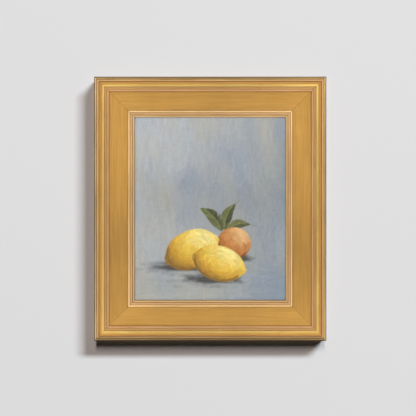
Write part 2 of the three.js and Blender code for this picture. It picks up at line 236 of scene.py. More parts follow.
class Wiring:
    """Adds nodes to one node tree and links them."""

    def __init__(self, tree: bpy.types.NodeTree) -> None:
        """Starts with the tree as it is."""
        self.tree = tree

    def node(self, kind: str, settings: dict | None = None, **inputs: object) -> bpy.types.Node:
        """Adds a node.

        Args:
            kind: the node's type, without the ShaderNode that its name starts with.
            settings: properties of the node itself.
            inputs: a value or a socket for each input, with underscores for the spaces in its name.

        Returns:
            The node.
        """
        made = self.tree.nodes.new("ShaderNode" + kind)
        for name, value in (settings or {}).items():
            setattr(made, name, value)
        return self.fill(made, **inputs)

    def fill(self, made: bpy.types.Node, **inputs: object) -> bpy.types.Node:
        """Feeds a node's inputs, with underscores for the spaces in their names."""
        for name, value in inputs.items():
            self.feed(made.inputs[name.replace("_", " ")], value)
        return made

    def feed(self, socket: bpy.types.NodeSocket, value: object) -> None:
        """Links a socket to another, or sets its value."""
        if isinstance(value, bpy.types.NodeSocket):
            self.tree.links.new(value, socket)
        elif isinstance(value, tuple) and len(value) == 3 and socket.type == "RGBA":
            socket.default_value = (*value, 1.0)
        else:
            socket.default_value = value

    def math(self, operation: str, first: object, second: object = 0.0) -> bpy.types.NodeSocket:
        """The result of a sum, product or other operation on two values."""
        made = self.node("Math", {"operation": operation})
        self.feed(made.inputs[0], first)
        self.feed(made.inputs[1], second)
        return made.outputs[0]

    def times(self, first: object, second: object) -> bpy.types.NodeSocket:
        """The product of two values."""
        return self.math("MULTIPLY", first, second)

    def plus(self, first: object, second: object) -> bpy.types.NodeSocket:
        """The sum of two values."""
        return self.math("ADD", first, second)

    def stretch(self, vector: object, amounts: object) -> bpy.types.NodeSocket:
        """A vector with each part multiplied by its own amount."""
        made = self.node("VectorMath", {"operation": "MULTIPLY"})
        self.feed(made.inputs[0], vector)
        self.feed(made.inputs[1], amounts)
        return made.outputs[0]

    def ramp(self, value: object, *span: object) -> bpy.types.NodeSocket:
        """A value carried from one range to another, or to 0 to 1, and held within it."""
        made = self.node("MapRange", {"clamp": True})
        for name, given in zip(("Value", "From Min", "From Max", "To Min", "To Max"), (value, *span)):
            self.feed(made.inputs[name], given)
        return made.outputs[0]

    def blend(self, amount: object, first: object, second: object, way: str = "MIX") -> bpy.types.NodeSocket:
        """Two colours mixed by an amount, in one of the usual ways."""
        made = self.node("Mix", {"data_type": "RGBA", "blend_type": way, "clamp_factor": True})
        self.feed(made.inputs[0], amount)
        self.feed(made.inputs[6], first)
        self.feed(made.inputs[7], second)
        return made.outputs[2]

    def shaded(self, colour: object, shade: object) -> bpy.types.NodeSocket:
        """A colour made lighter or darker by a value."""
        grey = self.node("CombineXYZ", X=shade, Y=shade, Z=shade).outputs[0]
        return self.blend(1.0, colour, grey, "MULTIPLY")

    def noise(
        self, vector: object, scale: float, detail: float = 2.0, roughness: float = 0.5
    ) -> bpy.types.NodeSocket:
        """A cloudy value between 0 and 1."""
        made = self.node("TexNoise", Vector=vector, Scale=scale, Detail=detail, Roughness=roughness)
        return made.outputs[0]

    def attribute(self, name: str, part: str) -> bpy.types.NodeSocket:
        """What the mesh holds under a name, as a colour, vector or value."""
        return self.node("Attribute", {"attribute_name": name}).outputs[part]

    def place(self) -> bpy.types.NodeSocket:
        """Where on the part a point lies, in metres."""
        return self.node("TexCoord").outputs["Object"]

    def relief(self, shader: bpy.types.Node, height: object, strength: float, depth: float) -> None:
        """Gives a shader the relief of a height, which stands for so many metres."""
        bumps = self.node("Bump", Height=height, Strength=strength, Distance=depth)
        self.fill(shader, Normal=bumps.outputs[0])

    def group(self, tree: bpy.types.NodeTree, **inputs: object) -> bpy.types.Node:
        """Places a shader group and feeds its named inputs."""
        made = self.tree.nodes.new("ShaderNodeGroup")
        made.node_tree = tree
        return self.fill(made, **inputs)

    def streaks(self, run: object, length: float, width: float, contrast: float) -> bpy.types.NodeOutputs:
        """The broad lines and the fine lines of a surface's streaks."""
        return self.group(Streaks.tree(), Run=run, Length=length, Width=width, Contrast=contrast).outputs

    def specks(self, vector: object, spacing: float, share: float) -> bpy.types.NodeSocket:
        """The mask of scattered specks."""
        return self.group(Specks.tree(), Vector=vector, Spacing=spacing, Share=share).outputs["Mask"]

    def weave(self, vector: object, thread: float) -> bpy.types.NodeOutputs:
        """The height of a cloth's threads, and how thick they are."""
        return self.group(Weave.tree(), Vector=vector, Thread=thread).outputs


class Socket(Enum):
    """The kinds of socket that a shader group has here."""

    VALUE = "NodeSocketFloat"
    VECTOR = "NodeSocketVector"


class Effect:
    """A shader group with named inputs and outputs, built the first time that it is asked for."""

    name = ""
    takes: dict[str, Socket] = {}
    gives: dict[str, Socket] = {}

    @classmethod
    def tree(cls) -> bpy.types.NodeTree:
        """The group, built once and then shared by every material."""
        made = bpy.data.node_groups.get(cls.name)
        if made:
            return made
        made = bpy.data.node_groups.new(cls.name, "ShaderNodeTree")
        for sockets, way in ((cls.takes, "INPUT"), (cls.gives, "OUTPUT")):
            for name, kind in sockets.items():
                made.interface.new_socket(name, in_out=way, socket_type=kind.value)
        taken = made.nodes.new("NodeGroupInput")
        given = made.nodes.new("NodeGroupOutput")
        for name, socket in cls.wire(Wiring(made), taken.outputs).items():
            made.links.new(socket, given.inputs[name])
        return made

    @staticmethod
    def wire(wiring: Wiring, taken: bpy.types.NodeOutputs) -> dict[str, bpy.types.NodeSocket]:
        """Builds the inside of the group.

        Args:
            wiring: of the group's own tree.
            taken: the group's inputs.

        Returns:
            The socket for each output, by name.
        """
        raise NotImplementedError


class Streaks(Effect):
    """Lines along a surface's own run, as a brush, plane or grain leaves them."""

    name = "streaks"
    takes = {"Run": Socket.VECTOR, "Length": Socket.VALUE, "Width": Socket.VALUE, "Contrast": Socket.VALUE}
    gives = {"Value": Socket.VALUE, "Fine": Socket.VALUE}
    finer = (2.3, 4.0, 4.0)  # how much finer the fine lines are, along and across

    @staticmethod
    def wire(wiring: Wiring, taken: bpy.types.NodeOutputs) -> dict[str, bpy.types.NodeSocket]:
        """Two noises, stretched along the first part of Run: a broad one and a finer one."""
        along = wiring.math("DIVIDE", 1.0, taken["Length"])
        across = wiring.math("DIVIDE", 1.0, taken["Width"])
        shape = wiring.node("CombineXYZ", X=along, Y=across, Z=across).outputs[0]
        where = wiring.stretch(taken["Run"], shape)
        broad = wiring.noise(where, 1.0, 2.0, 0.55)
        fine = wiring.noise(wiring.stretch(where, Streaks.finer), 1.0, 3.0, 0.6)
        half = wiring.math("DIVIDE", 0.5, taken["Contrast"])
        low, high = wiring.math("SUBTRACT", 0.5, half), wiring.plus(0.5, half)
        return {"Value": wiring.ramp(broad, low, high), "Fine": wiring.ramp(fine, low, high)}


class Specks(Effect):
    """Scattered small specks, such as dust, pinholes or fly spots."""

    name = "specks"
    takes = {"Vector": Socket.VECTOR, "Spacing": Socket.VALUE, "Share": Socket.VALUE}
    gives = {"Mask": Socket.VALUE}
    middle: Span = (0.08, 0.24, 1.0, 0.0)  # how a speck ends, in shares of the spacing

    @staticmethod
    def wire(wiring: Wiring, taken: bpy.types.NodeOutputs) -> dict[str, bpy.types.NodeSocket]:
        """A cell pattern, of which only the middles of some cells are kept."""
        scale = wiring.math("DIVIDE", 1.0, taken["Spacing"])
        cells = wiring.node("TexVoronoi", Vector=taken["Vector"], Scale=scale)
        chosen = wiring.node("SeparateColor", Color=cells.outputs["Color"]).outputs[0]
        kept = wiring.math("LESS_THAN", chosen, taken["Share"])
        return {"Mask": wiring.times(kept, wiring.ramp(cells.outputs["Distance"], *Specks.middle))}


class Weave(Effect):
    """Plain-woven cloth: threads over and under each other, of uneven thickness."""

    name = "weave"
    takes = {"Vector": Socket.VECTOR, "Thread": Socket.VALUE}
    gives = {"Height": Socket.VALUE, "Slub": Socket.VALUE}
    across = 900.0  # how quickly the threads' unevenness changes across them and along them, per metre
    along = 45.0
    wander = 2.0  # how far it pushes them sideways
    crossing = 0.35  # how high a thread stands where it lies over another

    @staticmethod
    def wire(wiring: Wiring, taken: bpy.types.NodeOutputs) -> dict[str, bpy.types.NodeSocket]:
        """Crossing sines in x and z, made uneven by noise that is stretched along each thread."""
        turn = wiring.math("DIVIDE", math.pi, taken["Thread"])
        parts = wiring.node("SeparateXYZ", Vector=taken["Vector"]).outputs
        upright = wiring.noise(wiring.stretch(taken["Vector"], (Weave.across, 1.0, Weave.along)), 1.0)
        level = wiring.noise(wiring.stretch(taken["Vector"], (Weave.along, 1.0, Weave.across)), 1.0)
        phase_x = wiring.plus(wiring.times(parts[0], turn), wiring.times(upright, Weave.wander))
        phase_z = wiring.plus(wiring.times(parts[2], turn), wiring.times(level, Weave.wander))
        over = wiring.times(wiring.math("SINE", phase_x), wiring.math("SINE", phase_z))
        slub = wiring.times(wiring.plus(upright, level), 0.5)
        return {"Height": wiring.plus(wiring.times(over, Weave.crossing), slub), "Slub": slub}


# ---- finishes ----


def new_material(name: str) -> tuple[bpy.types.Material, Wiring, bpy.types.Node]:
    """A material with its one shader.

    Args:
        name: of the material.

    Returns:
        The material, the wiring of its nodes, and its Principled shader.
    """
    material = bpy.data.materials.new(name)
    material.use_nodes = True
    shader = material.node_tree.nodes["Principled BSDF"]
    return material, Wiring(material.node_tree), shader


@dataclass(frozen=True)
class GiltFinish:
    """Gold leaf and bronze toning on the moulding, read from the mesh's tone, finish and run attributes."""

    name: str = "gold_leaf"
    bole: Colour = rgb(128, 62, 38)  # the red clay under the leaf
    grime: Colour = rgb(70, 46, 24)
    warmth: Colour = (1.05, 0.965, 0.86)  # multiplies the leaf where it is warmer
    streak_length: float = 0.075
    streak_width: float = 0.0026
    streak_contrast: float = 2.6
    streak_shade: Span = (0.0, 1.0, 0.9, 1.1)
    streak_gloss: Span = (0.0, 1.0, -0.06, 0.08)
    cloud_scale: float = 26.0
    cloud_shade: Span = (0.3, 0.7, 0.955, 1.045)
    warm_streaks: Span = (0.35, 0.8, 0.0, 1.0)
    rubbed_streaks: Span = (0.55, 0.9, 0.0, 1.0)
    rubbing: float = 0.5  # how much of the clay shows where the leaf is rubbed through
    speck_spacing: float = 0.0042
    speck_share: float = 0.10
    speck_cover: float = 0.35
    speck_dulling: float = 0.8
    varnish: float = 0.3  # how strongly the thin varnish over the leaf mirrors the room
    relief: Relief = (0.6, 0.00004)

    def material(self) -> bpy.types.Material:
        """Leaf that is streaked along the rail, with bole showing where it is rubbed and grime in specks.

        Returns:
            The material.
        """
        material, wiring, shader = new_material(self.name)
        run = wiring.attribute("run", "Vector")
        finish = wiring.attribute("finish", "Vector")
        metal, rough, wear = wiring.node("SeparateXYZ", Vector=finish).outputs
        wiring.fill(shader, Specular_IOR_Level=self.varnish)

        broad, fine = wiring.streaks(run, self.streak_length, self.streak_width, self.streak_contrast)
        clouds = wiring.noise(run, self.cloud_scale, 3.0, 0.6)
        shade = wiring.times(wiring.ramp(broad, *self.streak_shade), wiring.ramp(clouds, *self.cloud_shade))
        # the tone attribute holds the leaf's colour with the rails' painted light and shade in it
        gold = wiring.shaded(wiring.attribute("tone", "Color"), shade)
        warm = wiring.blend(1.0, gold, self.warmth, "MULTIPLY")
        leaf = wiring.blend(wiring.ramp(fine, *self.warm_streaks), gold, warm)

        rubbed = wiring.times(wear, wiring.ramp(fine, *self.rubbed_streaks))
        worn = wiring.blend(wiring.times(rubbed, self.rubbing), leaf, self.bole)
        spotted = wiring.times(wiring.specks(run, self.speck_spacing, self.speck_share), self.speck_cover)
        wiring.fill(shader, Base_Color=wiring.blend(spotted, worn, self.grime))

        wiring.fill(shader, Roughness=wiring.plus(rough, wiring.ramp(fine, *self.streak_gloss)))
        dulled = wiring.math("SUBTRACT", metal, wiring.times(spotted, self.speck_dulling))
        wiring.fill(shader, Metallic=dulled)
        wiring.relief(shader, wiring.plus(fine, wiring.times(broad, 2.0)), *self.relief)
        return material


class GrainAxis(Enum):
    """Which way the grain of a piece of wood runs."""

    X = "X"
    Z = "Z"


@dataclass(frozen=True)
class WoodFinish:
    """Bare planed wood, with its grain along one axis of the part."""

    name: str
    pale: Colour
    dark: Colour
    axis: GrainAxis
    ring: float = 0.0042  # the width of a growth ring
    ring_length: float = 0.09
    fibre: float = 0.0006
    fibre_length: float = 0.012
    fibre_shade: Span = (0.0, 1.0, 0.9, 1.08)
    roughness: Span = (0.0, 1.0, 0.54, 0.72)
    relief: Relief = (0.5, 0.00012)

    def material(self) -> bpy.types.Material:
        """Growth lines and fine fibres along the grain, with a little of both in the relief.

        Returns:
            The material.
        """
        material, wiring, shader = new_material(f"{self.name}_{self.axis.value.lower()}")
        x, y, z = wiring.node("SeparateXYZ", Vector=wiring.place()).outputs
        along, across = (x, z) if self.axis is GrainAxis.X else (z, x)
        run = wiring.node("CombineXYZ", X=along, Y=across, Z=y).outputs[0]
        lines, fine_lines = wiring.streaks(run, self.ring_length, self.ring, 2.2)
        fibres, _ = wiring.streaks(run, self.fibre_length, self.fibre, 1.4)
        grain = wiring.blend(lines, self.pale, self.dark)
        wiring.fill(shader, Base_Color=wiring.shaded(grain, wiring.ramp(fibres, *self.fibre_shade)))
        wiring.fill(shader, Roughness=wiring.ramp(fine_lines, *self.roughness))
        wiring.relief(shader, wiring.plus(lines, fibres), *self.relief)
        return material

    @classmethod
    def both_ways(
        cls, name: str, pale: Colour, dark: Colour, ring: float
    ) -> dict[GrainAxis, bpy.types.Material]:
        """The same wood with its grain along each axis."""
        return {axis: cls(name, pale, dark, axis, ring).material() for axis in GrainAxis}


@dataclass(frozen=True)
class PaintedCanvasFinish:
    """Oil paint on primed canvas: the colour comes from the mesh, the weave and bristle marks from here."""

    name: str = "oil_paint"
    thread: float = 0.00075
    thread_shade: Span = (0.3, 0.7, 0.92, 1.08)
    bristle_length: float = 0.016
    bristle_width: float = 0.0011
    bristle_shade: Span = (0.0, 1.0, 0.95, 1.05)
    bristle_height: float = 0.5
    roughness: Span = (0.0, 1.0, 0.62, 0.42)  # from thin paint to thick
    weave_left: Span = (0.0, 1.0, 1.0, 0.35)  # how much of the weave shows through, from thin to thick
    varnish: float = 0.35
    relief: Relief = (0.55, 0.00022)

    def material(self) -> bpy.types.Material:
        """Paint that is thin enough for the weave to show, with a dull sheen.

        Returns:
            The material.
        """
        material, wiring, shader = new_material(self.name)
        body = wiring.attribute("body", "Fac")
        place = wiring.place()
        height, slub = wiring.weave(place, self.thread)
        x, y, z = wiring.node("SeparateXYZ", Vector=place).outputs
        run = wiring.node("CombineXYZ", X=z, Y=x, Z=y).outputs[0]
        broad, fine = wiring.streaks(run, self.bristle_length, self.bristle_width, 1.5)
        shade = wiring.times(wiring.ramp(slub, *self.thread_shade), wiring.ramp(broad, *self.bristle_shade))
        wiring.fill(shader, Base_Color=wiring.shaded(wiring.attribute("paint", "Color"), shade))
        wiring.fill(shader, Roughness=wiring.ramp(body, *self.roughness))
        threads = wiring.times(height, wiring.ramp(body, *self.weave_left))
        wiring.relief(shader, wiring.plus(threads, wiring.times(fine, self.bristle_height)), *self.relief)
        wiring.fill(shader, Specular_IOR_Level=self.varnish)
        return material


@dataclass(frozen=True)
class ClothFinish:
    """The bare side of the canvas."""

    name: str = "bare_cloth"
    light: Colour = rgb(206, 192, 164)
    dark: Colour = rgb(158, 140, 110)
    thread: float = 0.00075
    crowns: Span = (0.2, 0.85, 0.0, 1.0)
    dust: float = 0.5
    dust_spacing: float = 0.006
    dust_share: float = 0.12
    roughness: float = 0.9
    relief: Relief = (0.8, 0.0002)

    def material(self) -> bpy.types.Material:
        """Unbleached thread with painted light and shade from the weave: lighter on its crowns and darker
        between them.

        Returns:
            The material.
        """
        material, wiring, shader = new_material(self.name)
        place = wiring.place()
        height, _ = wiring.weave(place, self.thread)
        thread = wiring.blend(wiring.ramp(height, *self.crowns), self.dark, self.light)
        dusty = wiring.times(wiring.specks(place, self.dust_spacing, self.dust_share), self.dust)
        wiring.fill(shader, Base_Color=wiring.blend(dusty, thread, self.dark), Roughness=self.roughness)
        wiring.relief(shader, height, *self.relief)
        return material


@dataclass(frozen=True)
class MetalFinish:
    """Plated or bare metal of the small fixings, faintly scratched and dulled in patches."""

    name: str
    colour: Colour
    tarnish: Colour
    roughness: float
    patch_scale: float = 160.0
    patches: Span = (0.45, 0.75, 0.0, 1.0)
    patch_dulling: float = 0.15
    scratch: float = 0.0005
    scratch_length: float = 0.02
    scratch_gloss: Span = (0.0, 1.0, -0.07, 0.07)
    relief: Relief = (0.25, 0.00003)

    def material(self) -> bpy.types.Material:
        """Metal with brushed streaks in its gloss and soft patches of tarnish in its colour.

        Returns:
            The material.
        """
        material, wiring, shader = new_material(self.name)
        place = wiring.place()
        patches = wiring.ramp(wiring.noise(place, self.patch_scale, 4.0, 0.6), *self.patches)
        lines, _ = wiring.streaks(place, self.scratch_length, self.scratch, 1.5)
        wiring.fill(shader, Base_Color=wiring.blend(patches, self.colour, self.tarnish))
        gloss = wiring.plus(wiring.ramp(lines, *self.scratch_gloss), self.roughness)
        wiring.fill(shader, Roughness=wiring.plus(gloss, wiring.times(patches, self.patch_dulling)))
        wiring.fill(shader, Metallic=1.0)
        wiring.relief(shader, lines, *self.relief)
        return material


@dataclass(frozen=True)
class RubberFinish:
    """Soft moulded rubber with a matt skin."""

    name: str = "rubber"
    colour: Colour = rgb(74, 62, 54)
    dust: Colour = rgb(130, 122, 112)
    dust_scale: float = 420.0
    dusty: Span = (0.48, 0.78, 0.0, 0.5)
    dust_dulling: float = 0.4
    skin_scale: float = 2600.0
    relief: Relief = (0.3, 0.00005)
    roughness: float = 0.7

    def material(self) -> bpy.types.Material:
        """Dark rubber with a fine skin and some dust.

        Returns:
            The material.
        """
        material, wiring, shader = new_material(self.name)
        place = wiring.place()
        dusty = wiring.ramp(wiring.noise(place, self.dust_scale, 4.0, 0.65), *self.dusty)
        wiring.fill(shader, Base_Color=wiring.blend(dusty, self.colour, self.dust))
        dull = wiring.plus(self.roughness, wiring.times(dusty, self.dust_dulling))
        wiring.fill(shader, Roughness=dull)
        wiring.relief(shader, wiring.noise(place, self.skin_scale), *self.relief)
        return material


# ---- the frame's rails ----


@dataclass(frozen=True)
class Tone:
    """How one member of the moulding is finished."""

    colour: Colour  # at the corners
    metal: float
    roughness: float
    wear: float = 0.0
    fade: float = 0.08  # painted shade: how much darker it is in the middle of a rail than at the corners
    upright_shading: float = 0.0  # painted light and shade: how much brighter it is high up on an upright than low down


class Gilding(Enum):
    """The finishes that run along the members of the moulding, from the sight edge outwards."""

    # Painted shade darkens the inner, panel and outer quirks and the panel rim; the ridge and inner bead are
    # lighter, burnished leaf with painted highlight.
    SIGHT_BAND = Tone(rgb(214, 178, 123), 0.6, 0.46, 0.3)
    INNER_QUIRK = Tone(rgb(176, 136, 88), 0.5, 0.5)
    INNER_FILLET = Tone(rgb(211, 172, 126), 0.6, 0.46, 0.4, 0.15)
    BEAD_QUIRK = Tone(rgb(208, 166, 106), 0.5, 0.5, 0.0, 0.15)
    INNER_BEAD = Tone(rgb(244, 205, 147), 0.7, 0.4, 0.3, 0.17)
    PANEL_RIM = Tone(rgb(168, 122, 64), 0.65, 0.46, 0.0, 0.13)
    PANEL = Tone(rgb(189, 145, 74), 0.65, 0.45, 0.0, 0.13, 0.085)
    PANEL_QUIRK = Tone(rgb(180, 134, 68), 0.5, 0.5)
    LOW_FILLET = Tone(rgb(198, 157, 113), 0.6, 0.47, 0.4)
    FILLET_QUIRK = Tone(rgb(208, 164, 98), 0.5, 0.5, 0.0, 0.15)
    HIGH_FILLET = Tone(rgb(194, 154, 102), 0.6, 0.48, 0.2, 0.16)
    RIDGE = Tone(rgb(216, 178, 100), 0.75, 0.34, 0.35, 0.26)
    OGEE = Tone(rgb(208, 154, 81), 0.35, 0.5)
    OUTER_QUIRK = Tone(rgb(152, 108, 54), 0.5, 0.5)
    OUTER_FILLET = Tone(rgb(200, 164, 114), 0.6, 0.47, 0.4, 0.04)
    OUTER_BEAD = Tone(rgb(216, 180, 120), 0.65, 0.44, 0.3, 0.3)
    FLANK = Tone(rgb(86, 62, 38), 0.3, 0.6)
    SIDE = Tone(rgb(98, 72, 44), 0.15, 0.68)
    BARE = Tone(rgb(200, 170, 125), 0.0, 0.7)


@dataclass(frozen=True)
class Flat:
    """A fillet or a square groove: its outer side, its height, and the finish of its riser and its tread."""

    outer: float
    high: float
    riser: Gilding
    tread: Gilding


@dataclass(frozen=True)
class Bead:
    """A bead: its middle, half its width, how far it rises above its springing, its top and its finish."""

    centre: float
    half: float
    rise: float
    high: float
    tone: Gilding
    flank: Gilding | None = None  # the finish of its outer flank, where that differs
    turn: float = math.radians(110)  # how far round the bead the flank starts


@dataclass
class SectionPath:
    """Draws a moulding's section as closely spaced points, each with its finish."""

    step: float = 0.32
    points: list[Point] = field(default_factory=list)
    tones: list[Gilding] = field(default_factory=list)

    def start(self, inward: float, height: float) -> None:
        """Puts the pen down."""
        self.points = [(inward, height)]
        self.tones = [Gilding.BARE]

    def follow(self, curve: Callable[[float], Point], length: float, tone: Gilding) -> None:
        """Adds points along a curve.

        Args:
            curve: gives the point at a share, from 0 to 1, of the way.
            length: roughly how long the curve is.
            tone: the finish on it.
        """
        count = max(1, round(length / self.step))
        for number in range(1, count + 1):
            self.points.append(curve(number / count))
            self.tones.append(tone)

    def line(self, inward: float, height: float, tone: Gilding) -> None:
        """Draws a straight stretch to a point."""
        u, h = self.points[-1]
        length = math.hypot(inward - u, height - h)
        self.follow(lambda share: (u + (inward - u) * share, h + (height - h) * share), length, tone)

    def scoop(self, bend: Point, end: Point, tone: Gilding) -> None:
        """Draws a curve with one bend in it to a point.

        Args:
            bend: the point that pulls the curve towards itself.
            end: where it stops.
            tone: the finish on it.
        """
        begin = self.points[-1]

        def curve(share: float) -> Point:
            """The point at a share of the way along the curve."""
            weights = ((1 - share) ** 2, 2 * share * (1 - share), share**2)
            return tuple(sum(w * p[i] for w, p in zip(weights, (begin, bend, end))) for i in (0, 1))

        self.follow(curve, math.dist(begin, end) * 1.05, tone)

    def flat(self, member: Flat) -> None:
        """Draws a fillet or a square groove: up or down to its height, and then across it."""
        self.line(self.points[-1][0], member.high, member.riser)
        self.line(member.outer, member.high, member.tread)

    def bead(self, bead: Bead) -> None:
        """Draws a bead, half an ellipse, over its top to its outer side."""
        self.line(bead.centre + bead.half, bead.high - bead.rise, bead.tone)
        turn = bead.turn if bead.flank else math.pi

        def arc(low: float, far: float) -> Callable[[float], Point]:
            """The part of the ellipse between two angles."""
            return lambda share: (
                bead.centre + bead.half * math.cos(low + (far - low) * share),
                bead.high - bead.rise + bead.rise * math.sin(low + (far - low) * share),
            )

        self.follow(arc(0, turn), bead.half * turn, bead.tone)
        if bead.flank:
            self.follow(arc(turn, math.pi), bead.half * (math.pi - turn), bead.flank)


@dataclass(frozen=True)
class Moulding:
    """The moulding's section: distances in from the outer edge, and heights above the frame's back."""

    width: float = 63.5
    rabbet_wall: float = 55.55
    rabbet_depth: float = 18.5
    lip_ease: float = 0.5
    back_ease: float = 0.8
    arris: float = 0.5  # how far gesso and leaf round the sharp edges, in points of the section
    turned_points: int = 8  # by how many points the section is turned, so that its start is rounded too

    sight_spring: float = 20.3  # where the sight edge starts to turn over
    sight_top: Point = (62.4, 21.9)
    sight_band: float = 61.1  # its outer side
    inner_quirk: Flat = Flat(59.7, 21.3, Gilding.INNER_QUIRK, Gilding.INNER_QUIRK)
    inner_fillet: Flat = Flat(57.6, 22.8, Gilding.INNER_QUIRK, Gilding.INNER_FILLET)
    bead_quirk: Flat = Flat(56.6, 22.3, Gilding.BEAD_QUIRK, Gilding.BEAD_QUIRK)
    inner_bead: Bead = Bead(54.8, 1.8, 1.3, 24.8, Gilding.INNER_BEAD)
    panel_inner: Point = (53.0, 23.6)
    panel_hollow: Point = (41.0, 22.7)
    panel_outer: Point = (24.4, 26.4)
    panel_quirk: Flat = Flat(23.2, 25.9, Gilding.PANEL_QUIRK, Gilding.PANEL_QUIRK)
    low_fillet: Flat = Flat(20.3, 28.4, Gilding.PANEL_QUIRK, Gilding.LOW_FILLET)
    fillet_quirk: Flat = Flat(19.3, 27.8, Gilding.FILLET_QUIRK, Gilding.FILLET_QUIRK)
    high_fillet: Flat = Flat(16.4, 30.4, Gilding.FILLET_QUIRK, Gilding.HIGH_FILLET)
    ridge_foot: Point = (16.4, 32.3)
    ridge_crest: Point = (15.2, 33.0)
    ridge_shoulder: Point = (13.3, 33.0)
    ogee_turn: Point = (11.6, 32.3)
    ogee_hollow: Point = (9.9, 31.64)
    ogee_foot: Point = (8.4, 31.4)
    outer_quirk: Flat = Flat(7.2, 30.0, Gilding.OUTER_QUIRK, Gilding.OUTER_QUIRK)
    outer_fillet: Flat = Flat(4.2, 30.8, Gilding.OUTER_QUIRK, Gilding.OUTER_FILLET)
    outer_bead: Bead = Bead(2.1, 2.1, 1.6, 31.6, Gilding.OUTER_BEAD, Gilding.FLANK)

    def draw(self) -> tuple[np.ndarray, list[Gilding]]:
        """The whole section, round from the back's outer edge and back to it.

        Returns:
            The points as rows of distance and height, and the finish at each.
        """
        path = SectionPath()
        path.start(self.back_ease, 0.0)
        self.draw_back(path)
        self.draw_sight_side(path)
        self.draw_outer_side(path)
        turned = np.roll(path.points[:-1], self.turned_points, axis=0)
        return np.roll(blur(turned, self.arris), -self.turned_points, axis=0), path.tones[:-1]

    def draw_back(self, path: SectionPath) -> None:
        """The flat back, the rabbet and the lip."""
        path.line(self.rabbet_wall, 0.0, Gilding.BARE)
        path.line(self.rabbet_wall, self.rabbet_depth, Gilding.BARE)
        path.line(self.width - self.lip_ease, self.rabbet_depth, Gilding.BARE)
        path.line(self.width, self.rabbet_depth + self.lip_ease, Gilding.SIGHT_BAND)

    def draw_sight_side(self, path: SectionPath) -> None:
        """The sight band, the inner fillet, the inner bead and the wide scooped panel."""
        path.line(self.width, self.sight_spring, Gilding.SIGHT_BAND)
        path.scoop((self.width, self.sight_top[1]), self.sight_top, Gilding.SIGHT_BAND)
        path.line(self.sight_band, self.sight_top[1], Gilding.SIGHT_BAND)
        for member in (self.inner_quirk, self.inner_fillet, self.bead_quirk):
            path.flat(member)
        path.bead(self.inner_bead)
        path.line(*self.panel_inner, Gilding.PANEL_RIM)
        path.scoop(self.panel_hollow, self.panel_outer, Gilding.PANEL)

    def draw_outer_side(self, path: SectionPath) -> None:
        """The two fillets, the ridge with its ogee, the outer fillet, the outer bead and the frame's side."""
        for member in (self.panel_quirk, self.low_fillet, self.fillet_quirk, self.high_fillet):
            path.flat(member)
        path.line(*self.ridge_foot, Gilding.RIDGE)
        path.scoop((self.ridge_foot[0], self.ridge_crest[1]), self.ridge_crest, Gilding.RIDGE)
        path.scoop(self.ridge_shoulder, self.ogee_turn, Gilding.RIDGE)
        path.scoop(self.ogee_hollow, self.ogee_foot, Gilding.OGEE)
        path.flat(self.outer_quirk)
        path.flat(self.outer_fillet)
        path.bead(self.outer_bead)
        path.line(0.0, self.back_ease, Gilding.SIDE)
        path.line(self.back_ease, 0.0, Gilding.BARE)


@dataclass(frozen=True)
class Side:
    """One side of the picture: its name, and the quarter turns that bring it there from the bottom."""

    name: str
    quarters: int

    @property
    def upright(self) -> bool:
        """Whether the side runs up and down."""
        return self.quarters % 2 == 1

    @property
    def grain(self) -> GrainAxis:
        """The way of the grain in the wood on this side."""
        return GrainAxis.Z if self.upright else GrainAxis.X

    @property
    def angle(self) -> float:
        """The turn in radians that brings the bottom of the picture to this side."""
        return self.quarters * math.pi / 2

    def spans(self, width: float, height: float) -> tuple[float, float]:
        """How long this side of a rectangle is, and how far the rectangle reaches across it."""
        return (height, width) if self.upright else (width, height)

    def turn(self, vertices: np.ndarray) -> np.ndarray:
        """Turns vertices from the bottom of the picture to this side, about the picture's centre."""
        cos, sin = math.cos(self.angle), math.sin(self.angle)
        x, y, z = vertices.T
        return np.column_stack([x * cos + z * sin, y, z * cos - x * sin])


SIDES = (Side("bottom", 0), Side("left", 1), Side("top", 2), Side("right", 3))


